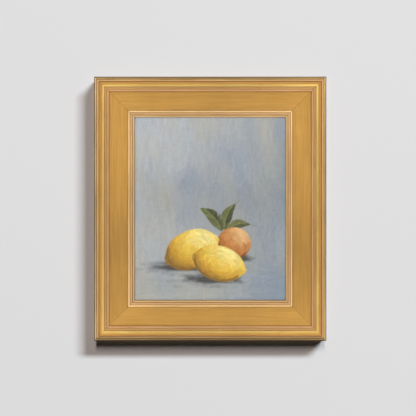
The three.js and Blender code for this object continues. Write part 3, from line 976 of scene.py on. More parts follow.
@dataclass
class GiltFrame:
    """The four mitred rails, with leaf on the front, dark toning on the sides and bare wood behind."""

    moulding: Moulding = field(default_factory=Moulding)
    stations: int = 150  # rows of vertices along a rail
    mitre_gap: float = 0.3
    ripple: float = 0.05  # how far the hand-laid gesso wanders from the true section
    ripple_run: float = 30.0  # how long and how wide its swells are
    ripple_width: float = 5.0
    blend: float = 0.8  # how far one member's finish runs into the next, in points of the section
    soft: float = 3.0  # the same for the gesso's ripple and for how an upright gets brighter
    run_apart: float = 700.0  # keeps the streaks of one rail from going on in the next
    foot_shade: float = 0.10  # painted shade: how much darker the uprights get towards their lower third
    panel_edge: float = 53.0  # where the panel meets the inner bead, and how much painted shade darkens the panel towards it
    panel_rim_shade: float = 0.14
    panel_reach: float = 2.6
    outer_curve: float = 0.7  # how evenly the painted shade on the outer bead thins out inwards
    # painted shade: how dark the outer bead is on some sides, and how far in that reaches
    outer_bead_shade: dict[str, Point] = field(default_factory=lambda: {"bottom": (0.72, 9.0), "top": (0.45, 6.5)})
    wood_pale: Colour = rgb(214, 194, 160)
    wood_dark: Colour = rgb(188, 162, 122)
    wood_ring: float = 0.0042

    def __post_init__(self) -> None:
        """Takes the frame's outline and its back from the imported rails."""
        low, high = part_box("rail_left")[0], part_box("rail_right")[1]
        self.width = (high.x - low.x) / MM
        foot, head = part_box("rail_bottom")[0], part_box("rail_top")[1]
        self.height = (head.z - foot.z) / MM
        self.centre = Vector((0, high.y, (head.z + foot.z) / 2))

    def build(self) -> None:
        """Builds and dresses the four rails."""
        gilt = GiltFinish().material()
        woods = WoodFinish.both_ways("frame_wood", self.wood_pale, self.wood_dark, self.wood_ring)
        for side in SIDES:
            rail = self.rail(side)
            rail.data.materials.append(gilt)
            rail.data.materials.append(woods[side.grain])
            put(rail, "gilded_wood", f"rail_{side.name}")

    def rail(self, side: Side) -> bpy.types.Object:
        """One rail, with the attributes that its leaf reads.

        Args:
            side: of the picture that the rail lies on.

        Returns:
            The rail's object.
        """
        section, tones = self.moulding.draw()
        ring, rows = len(section), self.stations
        run, across = side.spans(self.width, self.height)
        share = np.repeat(np.linspace(-1, 1, rows), ring)
        inward, height = np.tile(section, (rows, 1)).T
        along = share * (run / 2 - inward - self.mitre_gap / 2)

        gilt = self.spread([float(tone is not Gilding.BARE) for tone in tones], self.soft)
        lip, sight = self.moulding.rabbet_depth, self.moulding.width
        front = (height > lip + 1) & (inward > 0.6) & (inward < sight - 1)
        sizes = (self.ripple_run, self.ripple_width, self.ripple_width)
        where = np.column_stack([along, inward, height]) / sizes
        swell = waves(11 + side.quarters, where, 1.0) * self.ripple
        height = np.where(front, height - np.abs(swell) * gilt, height)

        low = np.column_stack([along, -height, inward - across / 2]) * MM
        vertices = side.turn(low) + np.array(self.centre)
        faces = [face[::-1] for face in grid_faces(rows, ring, closed=True)]
        faces.append(tuple(range(ring)))
        faces.append(tuple((rows - 1) * ring + i for i in reversed(range(ring))))
        rail = new_object(f"gilt_rail_{side.name}", vertices, faces)
        # painted light and shade along the rail, multiplied into the leaf's colour
        painted_light = self.painted_light(side, tones, share, inward)
        self.dress(rail, side, tones, painted_light, np.column_stack([along, inward, height]))
        return rail

    def spread(self, values: Sequence, sigma: float) -> np.ndarray:
        """Values for the points of the section, blurred and repeated for each row of a rail's vertices."""
        blurred = blur(np.array(values), sigma)
        return np.tile(blurred, (self.stations, *[1] * (blurred.ndim - 1)))

    def painted_light(self, side: Side, tones: list[Gilding], share: np.ndarray, inward: np.ndarray) -> np.ndarray:
        """The painted light and shade on the leaf: how much lighter or darker each vertex is drawn.

        Args:
            side: of the picture that the rail lies on.
            tones: the finish at each point of the section.
            share: how far along the rail each vertex is, from -1 to 1.
            inward: each vertex's distance from the outer edge.

        Returns:
            A factor for each vertex.
        """
        painted_light = 1 - self.spread([tone.value.fade for tone in tones], self.blend) * (1 - share**2)
        if side.upright:
            up = share if side.name == "right" else -share
            painted_light *= 1 - self.foot_shade * np.clip(0.5 - up, 0, 1)
            upright_shading = self.spread([tone.value.upright_shading for tone in tones], self.soft)
            painted_light *= 1 + upright_shading * np.sin(math.pi * up)
        inside = np.clip(self.panel_edge - inward, 0, None)
        painted_light *= 1 - self.panel_rim_shade * np.exp(-inside / self.panel_reach) * (inside > 0)
        outer_darkening, reach = self.outer_bead_shade.get(side.name, (0.0, 1.0))
        return painted_light * (1 - outer_darkening * np.clip((reach - inward) / reach, 0, 1) ** self.outer_curve)

    def dress(
        self, rail: bpy.types.Object, side: Side, tones: list[Gilding], painted_light: np.ndarray, run: np.ndarray
    ) -> None:
        """Writes a rail's finish on its vertices and faces.

        Args:
            rail: the rail's object.
            side: of the picture that it lies on.
            tones: the finish at each point of the section.
            painted_light: the painted light and shade, as a brightness factor for each vertex.
            run: each vertex's place along the rail, distance from the outer edge and height.
        """
        colours = self.spread([tone.value.colour for tone in tones], self.blend)
        finish = [(tone.value.metal, tone.value.roughness, tone.value.wear) for tone in tones]
        # the tone attribute is the leaf's colour times its painted light and shade
        point_attribute(rail, "tone", "FLOAT_COLOR", colours * painted_light[:, None])
        point_attribute(rail, "finish", "FLOAT_VECTOR", self.spread(finish, self.blend))
        point_attribute(rail, "run", "FLOAT_VECTOR", (run + (side.quarters * self.run_apart, 0, 0)) * MM)
        ring = len(tones)
        bare = [tone is Gilding.BARE for tone in tones]
        for polygon in rail.data.polygons:
            first = polygon.index % ring
            end_face = len(polygon.vertices) > 4
            polygon.material_index = int(end_face or bare[first] and bare[(first + 1) % ring])
        shade_smooth(rail, math.radians(50))


# ---- the painting ----


@dataclass(frozen=True)
class Brush:
    """A brush and how it is used, in millimetres and in shares from 0 to 1."""

    length: float  # of a mark
    width: float
    cover: float  # how much of what lies below a mark hides
    load: float  # how thickly the paint lies
    spread: float  # how much the brush loads differ
    bend: float = 0.0  # how far the middle of a mark bows to its left


@dataclass
class PaintLayer:
    """Paint on a square mesh of points: its colour, and how thickly it lies. Millimetres."""

    width: float
    height: float
    pitch: float
    primer: Colour = rgb(196, 196, 190)
    primer_load: float = 0.15
    seed: int = 5

    def __post_init__(self) -> None:
        """Lays out the points and primes them."""
        self.columns = round(self.width / self.pitch) + 1
        self.rows = round(self.height / self.pitch) + 1
        self.x = np.linspace(-self.width / 2, self.width / 2, self.columns)
        self.z = np.linspace(-self.height / 2, self.height / 2, self.rows)
        self.colour = np.full((self.rows, self.columns, 3), self.primer)
        self.body = np.full((self.rows, self.columns), self.primer_load)
        self.rng = np.random.default_rng(self.seed)

    def stroke(
        self, start: Point, angle: float, brush: Brush, colour: Colour, mask: Mask | None = None
    ) -> None:
        """Drags one brush mark across the canvas.

        Args:
            start: where the brush is put down.
            angle: which way it is dragged, in radians up from the right.
            brush: the brush and how it is used.
            colour: of the paint, linear.
            mask: gives how much paint each place may take.
        """
        reach = brush.length + brush.width + abs(brush.bend)
        columns = slice(*np.searchsorted(self.x, (start[0] - reach, start[0] + reach)))
        rows = slice(*np.searchsorted(self.z, (start[1] - reach, start[1] + reach)))
        if columns.start >= columns.stop or rows.start >= rows.stop:
            return
        x, z = np.meshgrid(self.x[columns], self.z[rows])
        ahead, aside = seen_from(start, angle, x, z)
        share = ahead / brush.length
        across = (aside - brush.bend * 4 * share * (1 - share)) / (brush.width / 2)

        to_end = np.minimum(share, 1 - share) * brush.length
        tip = np.clip(to_end / (brush.width * 0.45) + 0.5, 0, 1)
        edge = np.clip((1 - np.abs(across)) * brush.width / 1.6, 0, 1)
        bristles = self.bristles(across, share)
        lifted = np.clip((bristles - 0.9 * np.clip(share, 0, 1) ** 3 + 0.45) * 3, 0, 1)
        alpha = tip * edge * brush.cover * (0.75 + 0.25 * bristles) * lifted
        if mask is not None:
            alpha = alpha * mask(x, z)

        paint = np.array(colour) * (1 + 0.2 * (bristles[..., None] - 0.5))
        under = self.colour[rows, columns]
        under += (paint - under) * alpha[..., None]
        ridge = brush.load * (0.35 + 0.45 * bristles + 0.35 * np.abs(across) ** 3)
        depth = self.body[rows, columns]
        depth += (np.clip(ridge, 0, 1) - depth) * alpha * 0.9

    def bristles(self, across: np.ndarray, share: np.ndarray) -> np.ndarray:
        """The marks that single bristles leave, from 0 to 1, for places across and along one stroke."""
        phases = self.rng.uniform(0, 2 * math.pi, 3)
        pace = self.rng.uniform(0.8, 1.2, 3) * (9, 17, 4)
        lines = sum(
            np.sin(across * pitch + phase + 0.8 * np.sin(2 * share + phase))
            for pitch, phase in zip(pace, phases)
        )
        return np.clip(0.5 + lines / 5, 0, 1)

    def jitter(self, colour: Colour, amount: float) -> Colour:
        """A colour with its brightness and its hue a little off, as each brush load is."""
        light = 1 + self.rng.normal(0, amount)
        hue = self.rng.normal(0, amount * 0.35, 3)
        return tuple(max(0.0, value * (light + shift)) for value, shift in zip(colour, hue))


def moved(place: Point, angle: float, ahead: float, aside: float = 0.0) -> Point:
    """A place after so many millimetres ahead at an angle, and so many to the left of that."""
    cos, sin = math.cos(angle), math.sin(angle)
    return place[0] + ahead * cos - aside * sin, place[1] + ahead * sin + aside * cos


def seen_from(place: Point, angle: float, x: np.ndarray, z: np.ndarray) -> tuple[np.ndarray, np.ndarray]:
    """How far ahead of a place, and how far to its left, other places lie when facing at an angle."""
    dx, dz = x - place[0], z - place[1]
    cos, sin = math.cos(angle), math.sin(angle)
    return dx * cos + dz * sin, dz * cos - dx * sin


def mixed(first: Colour, second: Colour, share: float) -> Colour:
    """A colour between two others."""
    share = min(1.0, max(0.0, share))
    return tuple(a + (b - a) * share for a, b in zip(first, second))


@dataclass(frozen=True)
class Ground:
    """The blue-grey air behind the fruit, and the ledge that it lies on."""

    top_left: Colour = rgb(192, 198, 207)
    top_right: Colour = rgb(168, 170, 170)
    low_left: Colour = rgb(185, 186, 183)
    low_right: Colour = rgb(146, 158, 170)
    cool: Colour = rgb(139, 156, 184)
    warm: Colour = rgb(192, 185, 163)
    clouding: float = 0.055  # how much lighter and darker the clouds are, and their size
    cloud_size: float = 75.0
    drift_size: float = 46.0  # of the cooler and warmer clouds, and how far these cover the ground
    cool_cover: float = 0.5
    warm_cover: float = 0.4
    band_shade: float = 0.16  # of a darker band half way up, and its width as a share of the height
    band_width: float = 0.2
    ledge: float = -78.0  # the height of the ledge's far edge
    ledge_shade: float = 0.07
    ledge_blend: float = 14.0
    passes: tuple[tuple[Brush, int], ...] = (  # each brush, and how many marks it makes
        (Brush(52, 18, 0.9, 0.25, 0.02), 900),
        (Brush(40, 11, 0.65, 0.35, 0.035), 1700),
        (Brush(30, 5.5, 0.45, 0.4, 0.055), 1900),
    )
    spots_low: Point = (-0.52, -0.55)  # where marks may start, in shares of the canvas from its middle
    spots_high: Point = (0.52, 0.52)
    level_share: float = 0.6  # of the marks below the ledge's far edge
    wander: float = 0.24  # how far a mark is off upright or level, in radians
    bow: float = 3.0

    def colours(self, layer: PaintLayer, places: np.ndarray) -> np.ndarray:
        """The ground's colour at each place: lighter at the top left, and cooler and warmer in clouds.

        Args:
            layer: the paint, for its size.
            places: in millimetres from the middle.

        Returns:
            One linear colour for each place.
        """
        right = (places[:, :1] / layer.width + 0.5).clip(0, 1)
        up = (places[:, 1:] / layer.height + 0.5).clip(0, 1)
        high = np.array(self.top_left) * (1 - right) + np.array(self.top_right) * right
        low = np.array(self.low_left) * (1 - right) + np.array(self.low_right) * right
        tone = low * (1 - up) + high * up
        tone = tone * (1 + self.clouding * waves(31, places, self.cloud_size)[:, None])
        drift = waves(32, places * (1.0, 0.7), self.drift_size)[:, None] + 0.35 * (right - 0.5)
        for colour, cover, way in (
            (self.cool, self.cool_cover, drift),
            (self.warm, self.warm_cover, -drift),
        ):
            tone = tone + (np.array(colour) - tone) * (way.clip(0, 1) * cover)
        tone = tone * (1 - self.band_shade * np.exp(-(((up - 0.5) / self.band_width) ** 2)))
        below = (self.ledge - places[:, 1:]) / self.ledge_blend
        return tone * (1 - self.ledge_shade * below.clip(0, 1))

    def paint(self, layer: PaintLayer) -> None:
        """Scrubs the ground in with a wide brush, then drags thinner paint over it, up and down.

        Args:
            layer: what it is painted on.
        """
        rng = layer.rng
        for brush, count in self.passes:
            spots = rng.uniform(self.spots_low, self.spots_high, (count, 2)) * (layer.width, layer.height)
            for spot, colour in zip(spots, self.colours(layer, spots)):
                level = spot[1] < self.ledge and rng.random() < self.level_share
                angle = rng.normal(0 if level else math.pi / 2, self.wander)
                length = brush.length * rng.uniform(0.6, 1.3)
                paint = layer.jitter(colour, brush.spread)
                layer.stroke(spot, angle, replace(brush, length=length, bend=rng.normal(0, self.bow)), paint)


@dataclass(frozen=True)
class Fruit:
    """A round fruit, painted as lit from the upper right. A long one has a blunt tip at each end."""

    centre: Point
    long: float  # half its length
    wide: float  # half its width
    angle: float
    dark: Colour
    middle: Colour
    light: Colour
    shine: Colour
    nub: float = 0.0  # how far a lemon's tips stand out
    strokes: int = 300
    blocking_strokes: int = 60
    turning_strokes: int = 26
    lit_from: tuple[float, float, float] = (0.46, 0.62, 0.6)  # from the right, from above and from in front
    half_lit: float = 0.2  # from where the paint is lighter than its middle colour
    full_lit: float = 0.62  # from where it shines
    blocking: Brush = Brush(22, 15, 1.0, 0.3, 0.03)
    modelling: Brush = Brush(17, 5.3, 0.85, 0.8, 0.075)
    turning: Brush = Brush(9, 3.4, 0.6, 0.5, 0.05, 0.5)

    def local(self, x: np.ndarray, z: np.ndarray) -> tuple[np.ndarray, np.ndarray]:
        """Places in the fruit's own axes, each 1 at its outline."""
        ahead, aside = seen_from(self.centre, self.angle, x, z)
        return ahead / self.long, aside / self.wide

    def radius(self, x: np.ndarray, z: np.ndarray) -> np.ndarray:
        """How far out a place is: 0 in the middle, and 1 on the outline."""
        ahead, aside = self.local(x, z)
        tip = self.nub / self.long * np.exp(-((aside / 0.22) ** 2))
        return np.hypot(ahead / (1 + tip), aside)

    def mask(self, x: np.ndarray, z: np.ndarray) -> np.ndarray:
        """1 inside the fruit and 0 outside, with a soft outline."""
        return np.clip((1 - self.radius(x, z)) * self.wide / 1.3 + 0.5, 0, 1)

    def tone(self, x: float, z: float) -> Colour:
        """The paint for a place, from how squarely it faces the light.

        Args:
            x: to the right of the canvas's middle.
            z: above the canvas's middle.

        Returns:
            The colour, linear.
        """
        ahead, aside = self.local(x, z)
        depth = math.sqrt(max(0.0, 1 - ahead**2 - aside**2))
        right = ahead * math.cos(self.angle) - aside * math.sin(self.angle)
        up = ahead * math.sin(self.angle) + aside * math.cos(self.angle)
        lit = sum(part * towards for part, towards in zip(self.lit_from, (right, up, depth)))
        if lit > self.full_lit:
            return mixed(self.light, self.shine, (lit - self.full_lit) / 0.34)
        if lit > self.half_lit:
            return mixed(self.middle, self.light, (lit - self.half_lit) / (self.full_lit - self.half_lit))
        return mixed(self.dark, self.middle, (lit + 0.35) / 0.55)

    def paint(self, layer: PaintLayer) -> None:
        """Blocks the fruit in, then follows its roundness with shorter and thicker marks.

        Args:
            layer: what it is painted on.
        """
        for _ in range(self.blocking_strokes):
            spot = layer.rng.uniform(-0.8, 0.8, 2) * (self.long, self.wide)
            x, z = moved(self.centre, self.angle, *spot)
            paint = layer.jitter(self.tone(x, z), self.blocking.spread)
            layer.stroke((x - 8, z), self.angle, self.blocking, paint, self.mask)
        for number in range(self.strokes):
            small = number / self.strokes
            out = math.sqrt(layer.rng.uniform(0, 1)) * 1.02
            way = layer.rng.uniform(0, 2 * math.pi)
            ahead, aside = out * math.cos(way), out * math.sin(way)
            spot = moved(self.centre, self.angle, ahead * self.long, aside * self.wide)
            round_it = math.atan2(ahead * self.wide, -aside * self.long) + self.angle
            tangent = round_it + layer.rng.normal(0, 0.25)
            length = layer.rng.uniform(11, 23) * (1.15 - 0.5 * small)
            width = layer.rng.uniform(3.8, 6.8) * (1.1 - 0.3 * small)
            paint = layer.jitter(self.tone(*spot), self.modelling.spread)
            brush = replace(self.modelling, length=length, width=width, bend=length * -0.05)
            layer.stroke(moved(spot, tangent, -length / 2), tangent, brush, paint, self.mask)

    def rim(self, layer: PaintLayer, colour: Colour) -> None:
        """Draws the darker turn of the form along the side away from the light.

        Args:
            layer: what it is painted on.
            colour: of the darker paint.
        """
        for way in np.linspace(math.pi * 0.95, math.pi * 1.75, self.turning_strokes):
            own = way - self.angle
            ahead, aside = 0.95 * self.long * math.cos(own), 0.95 * self.wide * math.sin(own)
            spot = moved(self.centre, self.angle, ahead, aside)
            tangent = way + math.pi / 2 + layer.rng.normal(0, 0.15)
            paint = layer.jitter(colour, self.turning.spread)
            layer.stroke(moved(spot, tangent, -4), tangent, self.turning, paint, self.mask)


@dataclass(frozen=True)
class Leaf:
    """A pointed leaf, painted from its rib to its edges."""

    foot: Point
    angle: float
    length: float
    width: float
    bow: float
    dark: Colour = rgb(58, 64, 38)
    light: Colour = rgb(118, 122, 70)
    rib: Colour = rgb(176, 172, 120)
    vein: Brush = Brush(14, 4.2, 0.9, 0.6, 0.06, 0.6)  # its length follows the leaf's width
    along_rib: Brush = Brush(0.14, 1.8, 0.65, 0.5, 0.05)  # its length is a share of the leaf's length
    slant: float = 0.55  # of the veins from the rib, in radians
    veins: int = 130
    rib_strokes: int = 9

    def spine(self, share: float) -> Point:
        """The place at a share of the way along the rib."""
        return moved(self.foot, self.angle, self.length * share, self.bow * 4 * share * (1 - share))

    def mask(self, x: np.ndarray, z: np.ndarray) -> np.ndarray:
        """1 inside the leaf and 0 outside, with a soft outline."""
        ahead, aside = seen_from(self.foot, self.angle, x, z)
        share = ahead / self.length
        off_rib = np.abs(aside - self.bow * 4 * share * (1 - share))
        half = self.width / 2 * np.sin(math.pi * np.clip(share, 0, 1) ** 0.8) ** 0.9
        return np.clip((half - off_rib) / 1.2 + 0.3, 0, 1)

    def paint(self, layer: PaintLayer) -> None:
        """Fills the leaf with slanting marks, dark on its lower half and lighter on its upper one.

        Args:
            layer: what it is painted on.
        """
        for number in range(self.veins):
            share = layer.rng.uniform(0, 0.97)
            upper = number % 2 == 0
            turn = self.angle + (self.slant if upper else -self.slant) + layer.rng.normal(0, 0.12)
            tone = mixed(self.dark, self.light, (0.75 if upper else 0.2) + layer.rng.normal(0, 0.22))
            vein = replace(self.vein, length=self.width * layer.rng.uniform(0.5, 0.95))
            layer.stroke(self.spine(share), turn, vein, layer.jitter(tone, vein.spread), self.mask)
        brush = replace(self.along_rib, length=self.length * self.along_rib.length)
        for share in np.linspace(0.02, 0.8, self.rib_strokes):
            paint = layer.jitter(mixed(self.light, self.rib, 0.5), brush.spread)
            layer.stroke(self.spine(share), self.angle + 0.05, brush, paint)


@dataclass(frozen=True)
class Shadow:
    """A soft shadow that a fruit throws on the ledge: how far it is shifted, how wide it is and how deep."""

    colour: Colour
    shift: float
    wide: float
    deep: float
    brush: Brush
    strokes: int = 150


@dataclass
class StillLife:
    """Lemons and a small orange with leaves, on a ledge against a plain ground."""

    ground: Ground = field(default_factory=Ground)
    lemon: tuple[Colour, ...] = (rgb(152, 110, 36), rgb(214, 164, 48), rgb(238, 200, 78), rgb(250, 230, 142))
    orange: tuple[Colour, ...] = (rgb(134, 74, 34), rgb(186, 112, 50), rgb(208, 142, 76), rgb(232, 186, 128))
    orange_rim: Colour = rgb(120, 66, 32)
    lemon_rim: Colour = rgb(132, 100, 40)
    shadows: tuple[Shadow, ...] = (
        Shadow(rgb(122, 128, 132), 15, 0.55, 4.2, Brush(18, 6.0, 0.3, 0.3, 0.03)),
        Shadow(rgb(80, 78, 74), 4, 0.36, 1.8, Brush(18, 6.0, 0.42, 0.3, 0.03)),
    )

    def fruits(self) -> list[Fruit]:
        """The fruit, from the furthest to the nearest."""
        return [
            Fruit((38, -56), 27, 25.5, 0.2, *self.orange),
            Fruit((-30, -66), 43, 31, 0.42, *self.lemon, nub=6, strokes=400),
            Fruit((14, -88), 41, 28, -0.28, *self.lemon, nub=6, strokes=380),
        ]

    def leaves(self) -> list[Leaf]:
        """The leaves, from the furthest to the nearest."""
        return [
            Leaf((22, -34), 1.15, 46, 19, 5),
            Leaf((20, -36), 2.35, 52, 21, -6),
            Leaf((24, -36), 0.25, 42, 17, 6, rgb(70, 74, 44), rgb(132, 132, 82)),
        ]

    def cast_shadows(self, layer: PaintLayer) -> None:
        """Lays a soft shadow to the lower left of each fruit, and a darker one where it touches the ledge.

        Args:
            layer: what it is painted on.
        """
        for shadow in self.shadows:
            for fruit in self.fruits():
                for _ in range(shadow.strokes):
                    x = fruit.centre[0] - shadow.shift + layer.rng.normal(0, fruit.long * shadow.wide)
                    z = fruit.centre[1] - fruit.wide * 0.9 + layer.rng.normal(0, shadow.deep)
                    brush = replace(shadow.brush, length=layer.rng.uniform(12, 24))
                    angle = layer.rng.normal(0.04, 0.08)
                    paint = layer.jitter(shadow.colour, brush.spread)
                    layer.stroke((x - brush.length / 2, z), angle, brush, paint)

    def paint(self, layer: PaintLayer) -> None:
        """Paints the whole picture, from the back to the front.

        Args:
            layer: what it is painted on.
        """
        self.ground.paint(layer)
        self.cast_shadows(layer)
        back, *front = self.fruits()
        for leaf in self.leaves():
            leaf.paint(layer)
        back.paint(layer)
        back.rim(layer, self.orange_rim)
        for fruit in front:
            fruit.paint(layer)
            fruit.rim(layer, self.lemon_rim)


@dataclass
class Canvas:
    """The cloth on its bars: the painted face, the sides, and the strip that is turned over behind."""

    thick: float = 0.8
    fold: float = 15.0  # how much is turned over behind
    ease: float = 0.3  # off the edge of the fold
    inside_ease: float = 0.4  # off the corners inside it
    pitch: float = 1.05
    edge_radius: float = 1.2
    relief: float = 0.28  # how far the thickest paint stands above the cloth
    bare_rim: float = 4.0  # how far in from the edge the paint starts to stand up
    slack: float = 0.12
    slack_size: float = 70.0
    slack_rim: float = 20.0  # how far in from the edge the cloth is fully slack
    arc_steps: int = 4
    primer: Colour = rgb(214, 210, 198)

    def __post_init__(self) -> None:
        """Takes the cloth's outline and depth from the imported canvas."""
        self.low, self.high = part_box("canvas")
        self.width = (self.high.x - self.low.x) / MM
        self.height = (self.high.z - self.low.z) / MM
        self.depth = (self.high.y - self.low.y) / MM
        self.centre = (self.low + self.high) / 2

    def build(self) -> None:
        """Builds and paints the canvas, and says what it was cut from."""
        layer = PaintLayer(self.width, self.height, self.pitch)
        StillLife().paint(layer)
        cloth = self.mesh(layer)
        cloth.data.materials.append(PaintedCanvasFinish().material())
        cloth.data.materials.append(ClothFinish().material())
        put(cloth, "painted_canvas", "canvas")

    def loops(self) -> list[tuple[float, float]]:
        """Where the cloth goes from the rim of its face, round the bars and back inside.

        Returns:
            For each loop of vertices, how far it lies in from the cloth's outline and behind its face.
        """
        radius, thick, depth = self.edge_radius, self.thick, self.depth
        turns = [math.pi / 2 * step / self.arc_steps for step in range(1, self.arc_steps + 1)]
        out = [(radius * (1 - math.sin(a)), radius * (1 - math.cos(a))) for a in turns]
        side = [(0.0, depth * share) for share in (0.3, 0.6)]
        back = [(radius * (1 - math.cos(a)), depth - radius * (1 - math.sin(a))) for a in turns]
        turned = [(self.fold * share, depth) for share in (0.4, 0.7)]
        end = [(self.fold - self.ease, depth), (self.fold, depth - self.ease), (self.fold, depth - thick)]
        corner = thick + self.inside_ease
        inside = [(corner, depth - thick), (thick, depth - corner), (thick, corner), (corner, thick)]
        return out + side + [(0.0, depth - radius)] + back + turned + end + inside

    def mesh(self, layer: PaintLayer) -> bpy.types.Object:
        """The cloth as one closed mesh, with the paint on its face.

        Args:
            layer: the finished paint.

        Returns:
            The canvas's object, with its paint and body attributes.
        """
        inset = self.edge_radius
        squeeze_x, squeeze_z = 1 - 2 * inset / self.width, 1 - 2 * inset / self.height
        x, z = np.meshgrid(layer.x * squeeze_x, layer.z * squeeze_z)
        rim = np.minimum(self.width / 2 - inset - np.abs(x), self.height / 2 - inset - np.abs(z))
        raised = layer.body * self.relief * np.clip(rim / self.bare_rim - 1, 0, 1)
        swell = waves(3, np.column_stack([x.ravel(), z.ravel()]), self.slack_size).reshape(x.shape)
        slack = self.slack * swell * np.clip(rim / self.slack_rim, 0, 1)
        flat = np.stack([x, np.minimum(self.relief - raised - slack / 2, self.relief * 1.6), z], axis=-1)
        flat = flat.reshape(-1, 3)

        rows, columns = layer.rows, layer.columns
        number = np.arange(rows * columns).reshape(rows, columns)
        ring = np.concatenate([number[0, :-1], number[:-1, -1], number[-1, :0:-1], number[:0:-1, 0]])
        rim_x, rim_z = flat[ring, 0] / squeeze_x, flat[ring, 2] / squeeze_z
        vertices = [flat]
        for inward, behind in self.loops():
            shrink_x, shrink_z = 1 - 2 * inward / self.width, 1 - 2 * inward / self.height
            vertices.append(np.column_stack([rim_x * shrink_x, np.full(len(ring), behind), rim_z * shrink_z]))
        vertices = np.concatenate(vertices)

        faces = grid_faces(rows, columns, closed=False)
        first, count = rows * columns, len(ring)
        faces += [(ring[i], first + i, first + (i + 1) % count, ring[(i + 1) % count]) for i in range(count)]
        faces += [face[::-1] for face in grid_faces(len(self.loops()), count, closed=True, start=first)]
        faces.append(tuple(range(len(vertices) - count, len(vertices))))

        place = vertices * MM + np.array((self.centre.x, self.low.y, self.centre.z))
        cloth = new_object("painted_canvas", place, faces)
        self.dress(cloth, layer, count)
        return cloth

    def dress(self, cloth: bpy.types.Object, layer: PaintLayer, count: int) -> None:
        """Writes the paint on the cloth's vertices, and leaves its sides and back bare.

        Args:
            cloth: the canvas's object.
            layer: the finished paint.
            count: how many vertices each loop round the cloth has.
        """
        spare = len(cloth.data.vertices) - layer.rows * layer.columns
        primed = np.tile(self.primer, (spare, 1))
        point_attribute(cloth, "paint", "FLOAT_COLOR", np.concatenate([layer.colour.reshape(-1, 3), primed]))
        point_attribute(cloth, "body", "FLOAT", np.concatenate([layer.body.ravel(), np.zeros(spare)]))
        painted = (layer.rows - 1) * (layer.columns - 1) + count * (self.arc_steps + 2)
        for polygon in cloth.data.polygons:
            polygon.material_index = int(polygon.index >= painted)
        shade_smooth(cloth, math.radians(60))


# ---- what holds it together, behind ----


def turned_piece(name: str, profile: Sequence[Point], sides: int = 40) -> bpy.types.Object:
    """A closed solid of revolution about the y axis.

    Args:
        name: of the object.
        profile: pairs of radius and place along y in millimetres, from the axis and back to the axis.
        sides: how many it has.

    Returns:
        The object, shaded smoothly.
    """
    inner = profile[1:-1]
    turns = np.linspace(0, 2 * math.pi, sides, endpoint=False)
    vertices = [(r * math.cos(a) * MM, y * MM, r * math.sin(a) * MM) for r, y in inner for a in turns]
    vertices += [(0, profile[0][1] * MM, 0), (0, profile[-1][1] * MM, 0)]
    faces = grid_faces(len(inner), sides, closed=True)
    first, last, end = len(vertices) - 2, len(vertices) - 1, (len(inner) - 1) * sides
    faces += [(first, (i + 1) % sides, i) for i in range(sides)]
    faces += [(last, end + i, end + (i + 1) % sides) for i in range(sides)]
    thing = new_object(name, np.array(vertices), faces)
    made = bmesh.new()
    made.from_mesh(thing.data)
    bmesh.ops.recalc_face_normals(made, faces=made.faces)
    made.to_mesh(thing.data)
    made.free()
    shade_smooth(thing)
    return thing


def dome(radius: float, spring: float, top: float, steps: int) -> list[Point]:
    """The outline of a round head, from the middle of its top to its rim.

    Args:
        radius: of the rim.
        spring: the height of the rim.
        top: the height of the middle.
        steps: how many points there are.

    Returns:
        Pairs of radius and height.
    """
    turns = np.linspace(0, math.pi / 2, steps)
    return [(radius * math.sin(a), spring + (top - spring) * math.cos(a)) for a in turns]


def seat(
    piece: bpy.types.Object, node: str, material: bpy.types.Material, slot: str, turn: float = 0.0
) -> None:
    """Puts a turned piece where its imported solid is, dresses it and hides the solid.

    Args:
        piece: whose foot is at the origin.
        node: the solid that it stands for.
        material: its finish.
        slot: the name of its material slot.
        turn: about its own axis, in radians.
    """
    low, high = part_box(node)
    foot = Vector(((low.x + high.x) / 2, low.y, (low.z + high.z) / 2))
    piece.data.transform(Matrix.Translation(foot) @ Matrix.Rotation(turn, 4, "Y"))
    piece.data.materials.append(material)
    put(piece, slot, node)


def node_centre(node: str) -> Vector:
    """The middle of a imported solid's box."""
    low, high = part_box(node)
    return (low + high) / 2


def depth_of(node: str) -> float:
    """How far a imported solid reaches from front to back, in millimetres."""
    low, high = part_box(node)
    return (high.y - low.y) / MM


@dataclass
class StretcherBars:
    """The mitred bars that the canvas is stretched on, with their wedges."""

    edge: float = 0.35
    pine: tuple[Colour, Colour] = (rgb(232, 212, 176), rgb(208, 178, 132))
    pine_ring: float = 0.0055
    beech: tuple[Colour, Colour] = (rgb(218, 184, 146), rgb(198, 160, 118))
    beech_ring: float = 0.002

    def build(self) -> None:
        """Gives the bars and keys their wood and takes the sharpness off their edges."""
        pine = WoodFinish.both_ways("pine", *self.pine, self.pine_ring)
        beech = WoodFinish.both_ways("beech", *self.beech, self.beech_ring)
        for side in SIDES:
            dress_solid(f"stretcher_{side.name}", pine[side.grain], self.edge)
        for name in sorted(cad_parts):
            if name.startswith("stretcher_key_"):
                dress_solid(name, beech[GrainAxis.Z if name.endswith("1") else GrainAxis.X], self.edge)


def dress_solid(node: str, material: bpy.types.Material, edge: float) -> None:
    """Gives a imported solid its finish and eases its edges.

    Args:
        node: its name.
        material: the finish.
        edge: the width of the eased edge, in millimetres.
    """
    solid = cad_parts[node]
    solid.data.materials.clear()
    solid.data.materials.append(material)
    bevel = solid.modifiers.new("eased_edges", "BEVEL")
    bevel.width = edge * MM
    bevel.segments = 2
    bevel.limit_method = "ANGLE"
    bevel.angle_limit = math.radians(50)
    bevel.harden_normals = True
    log.info("%s: packed solid with a new finish", node)


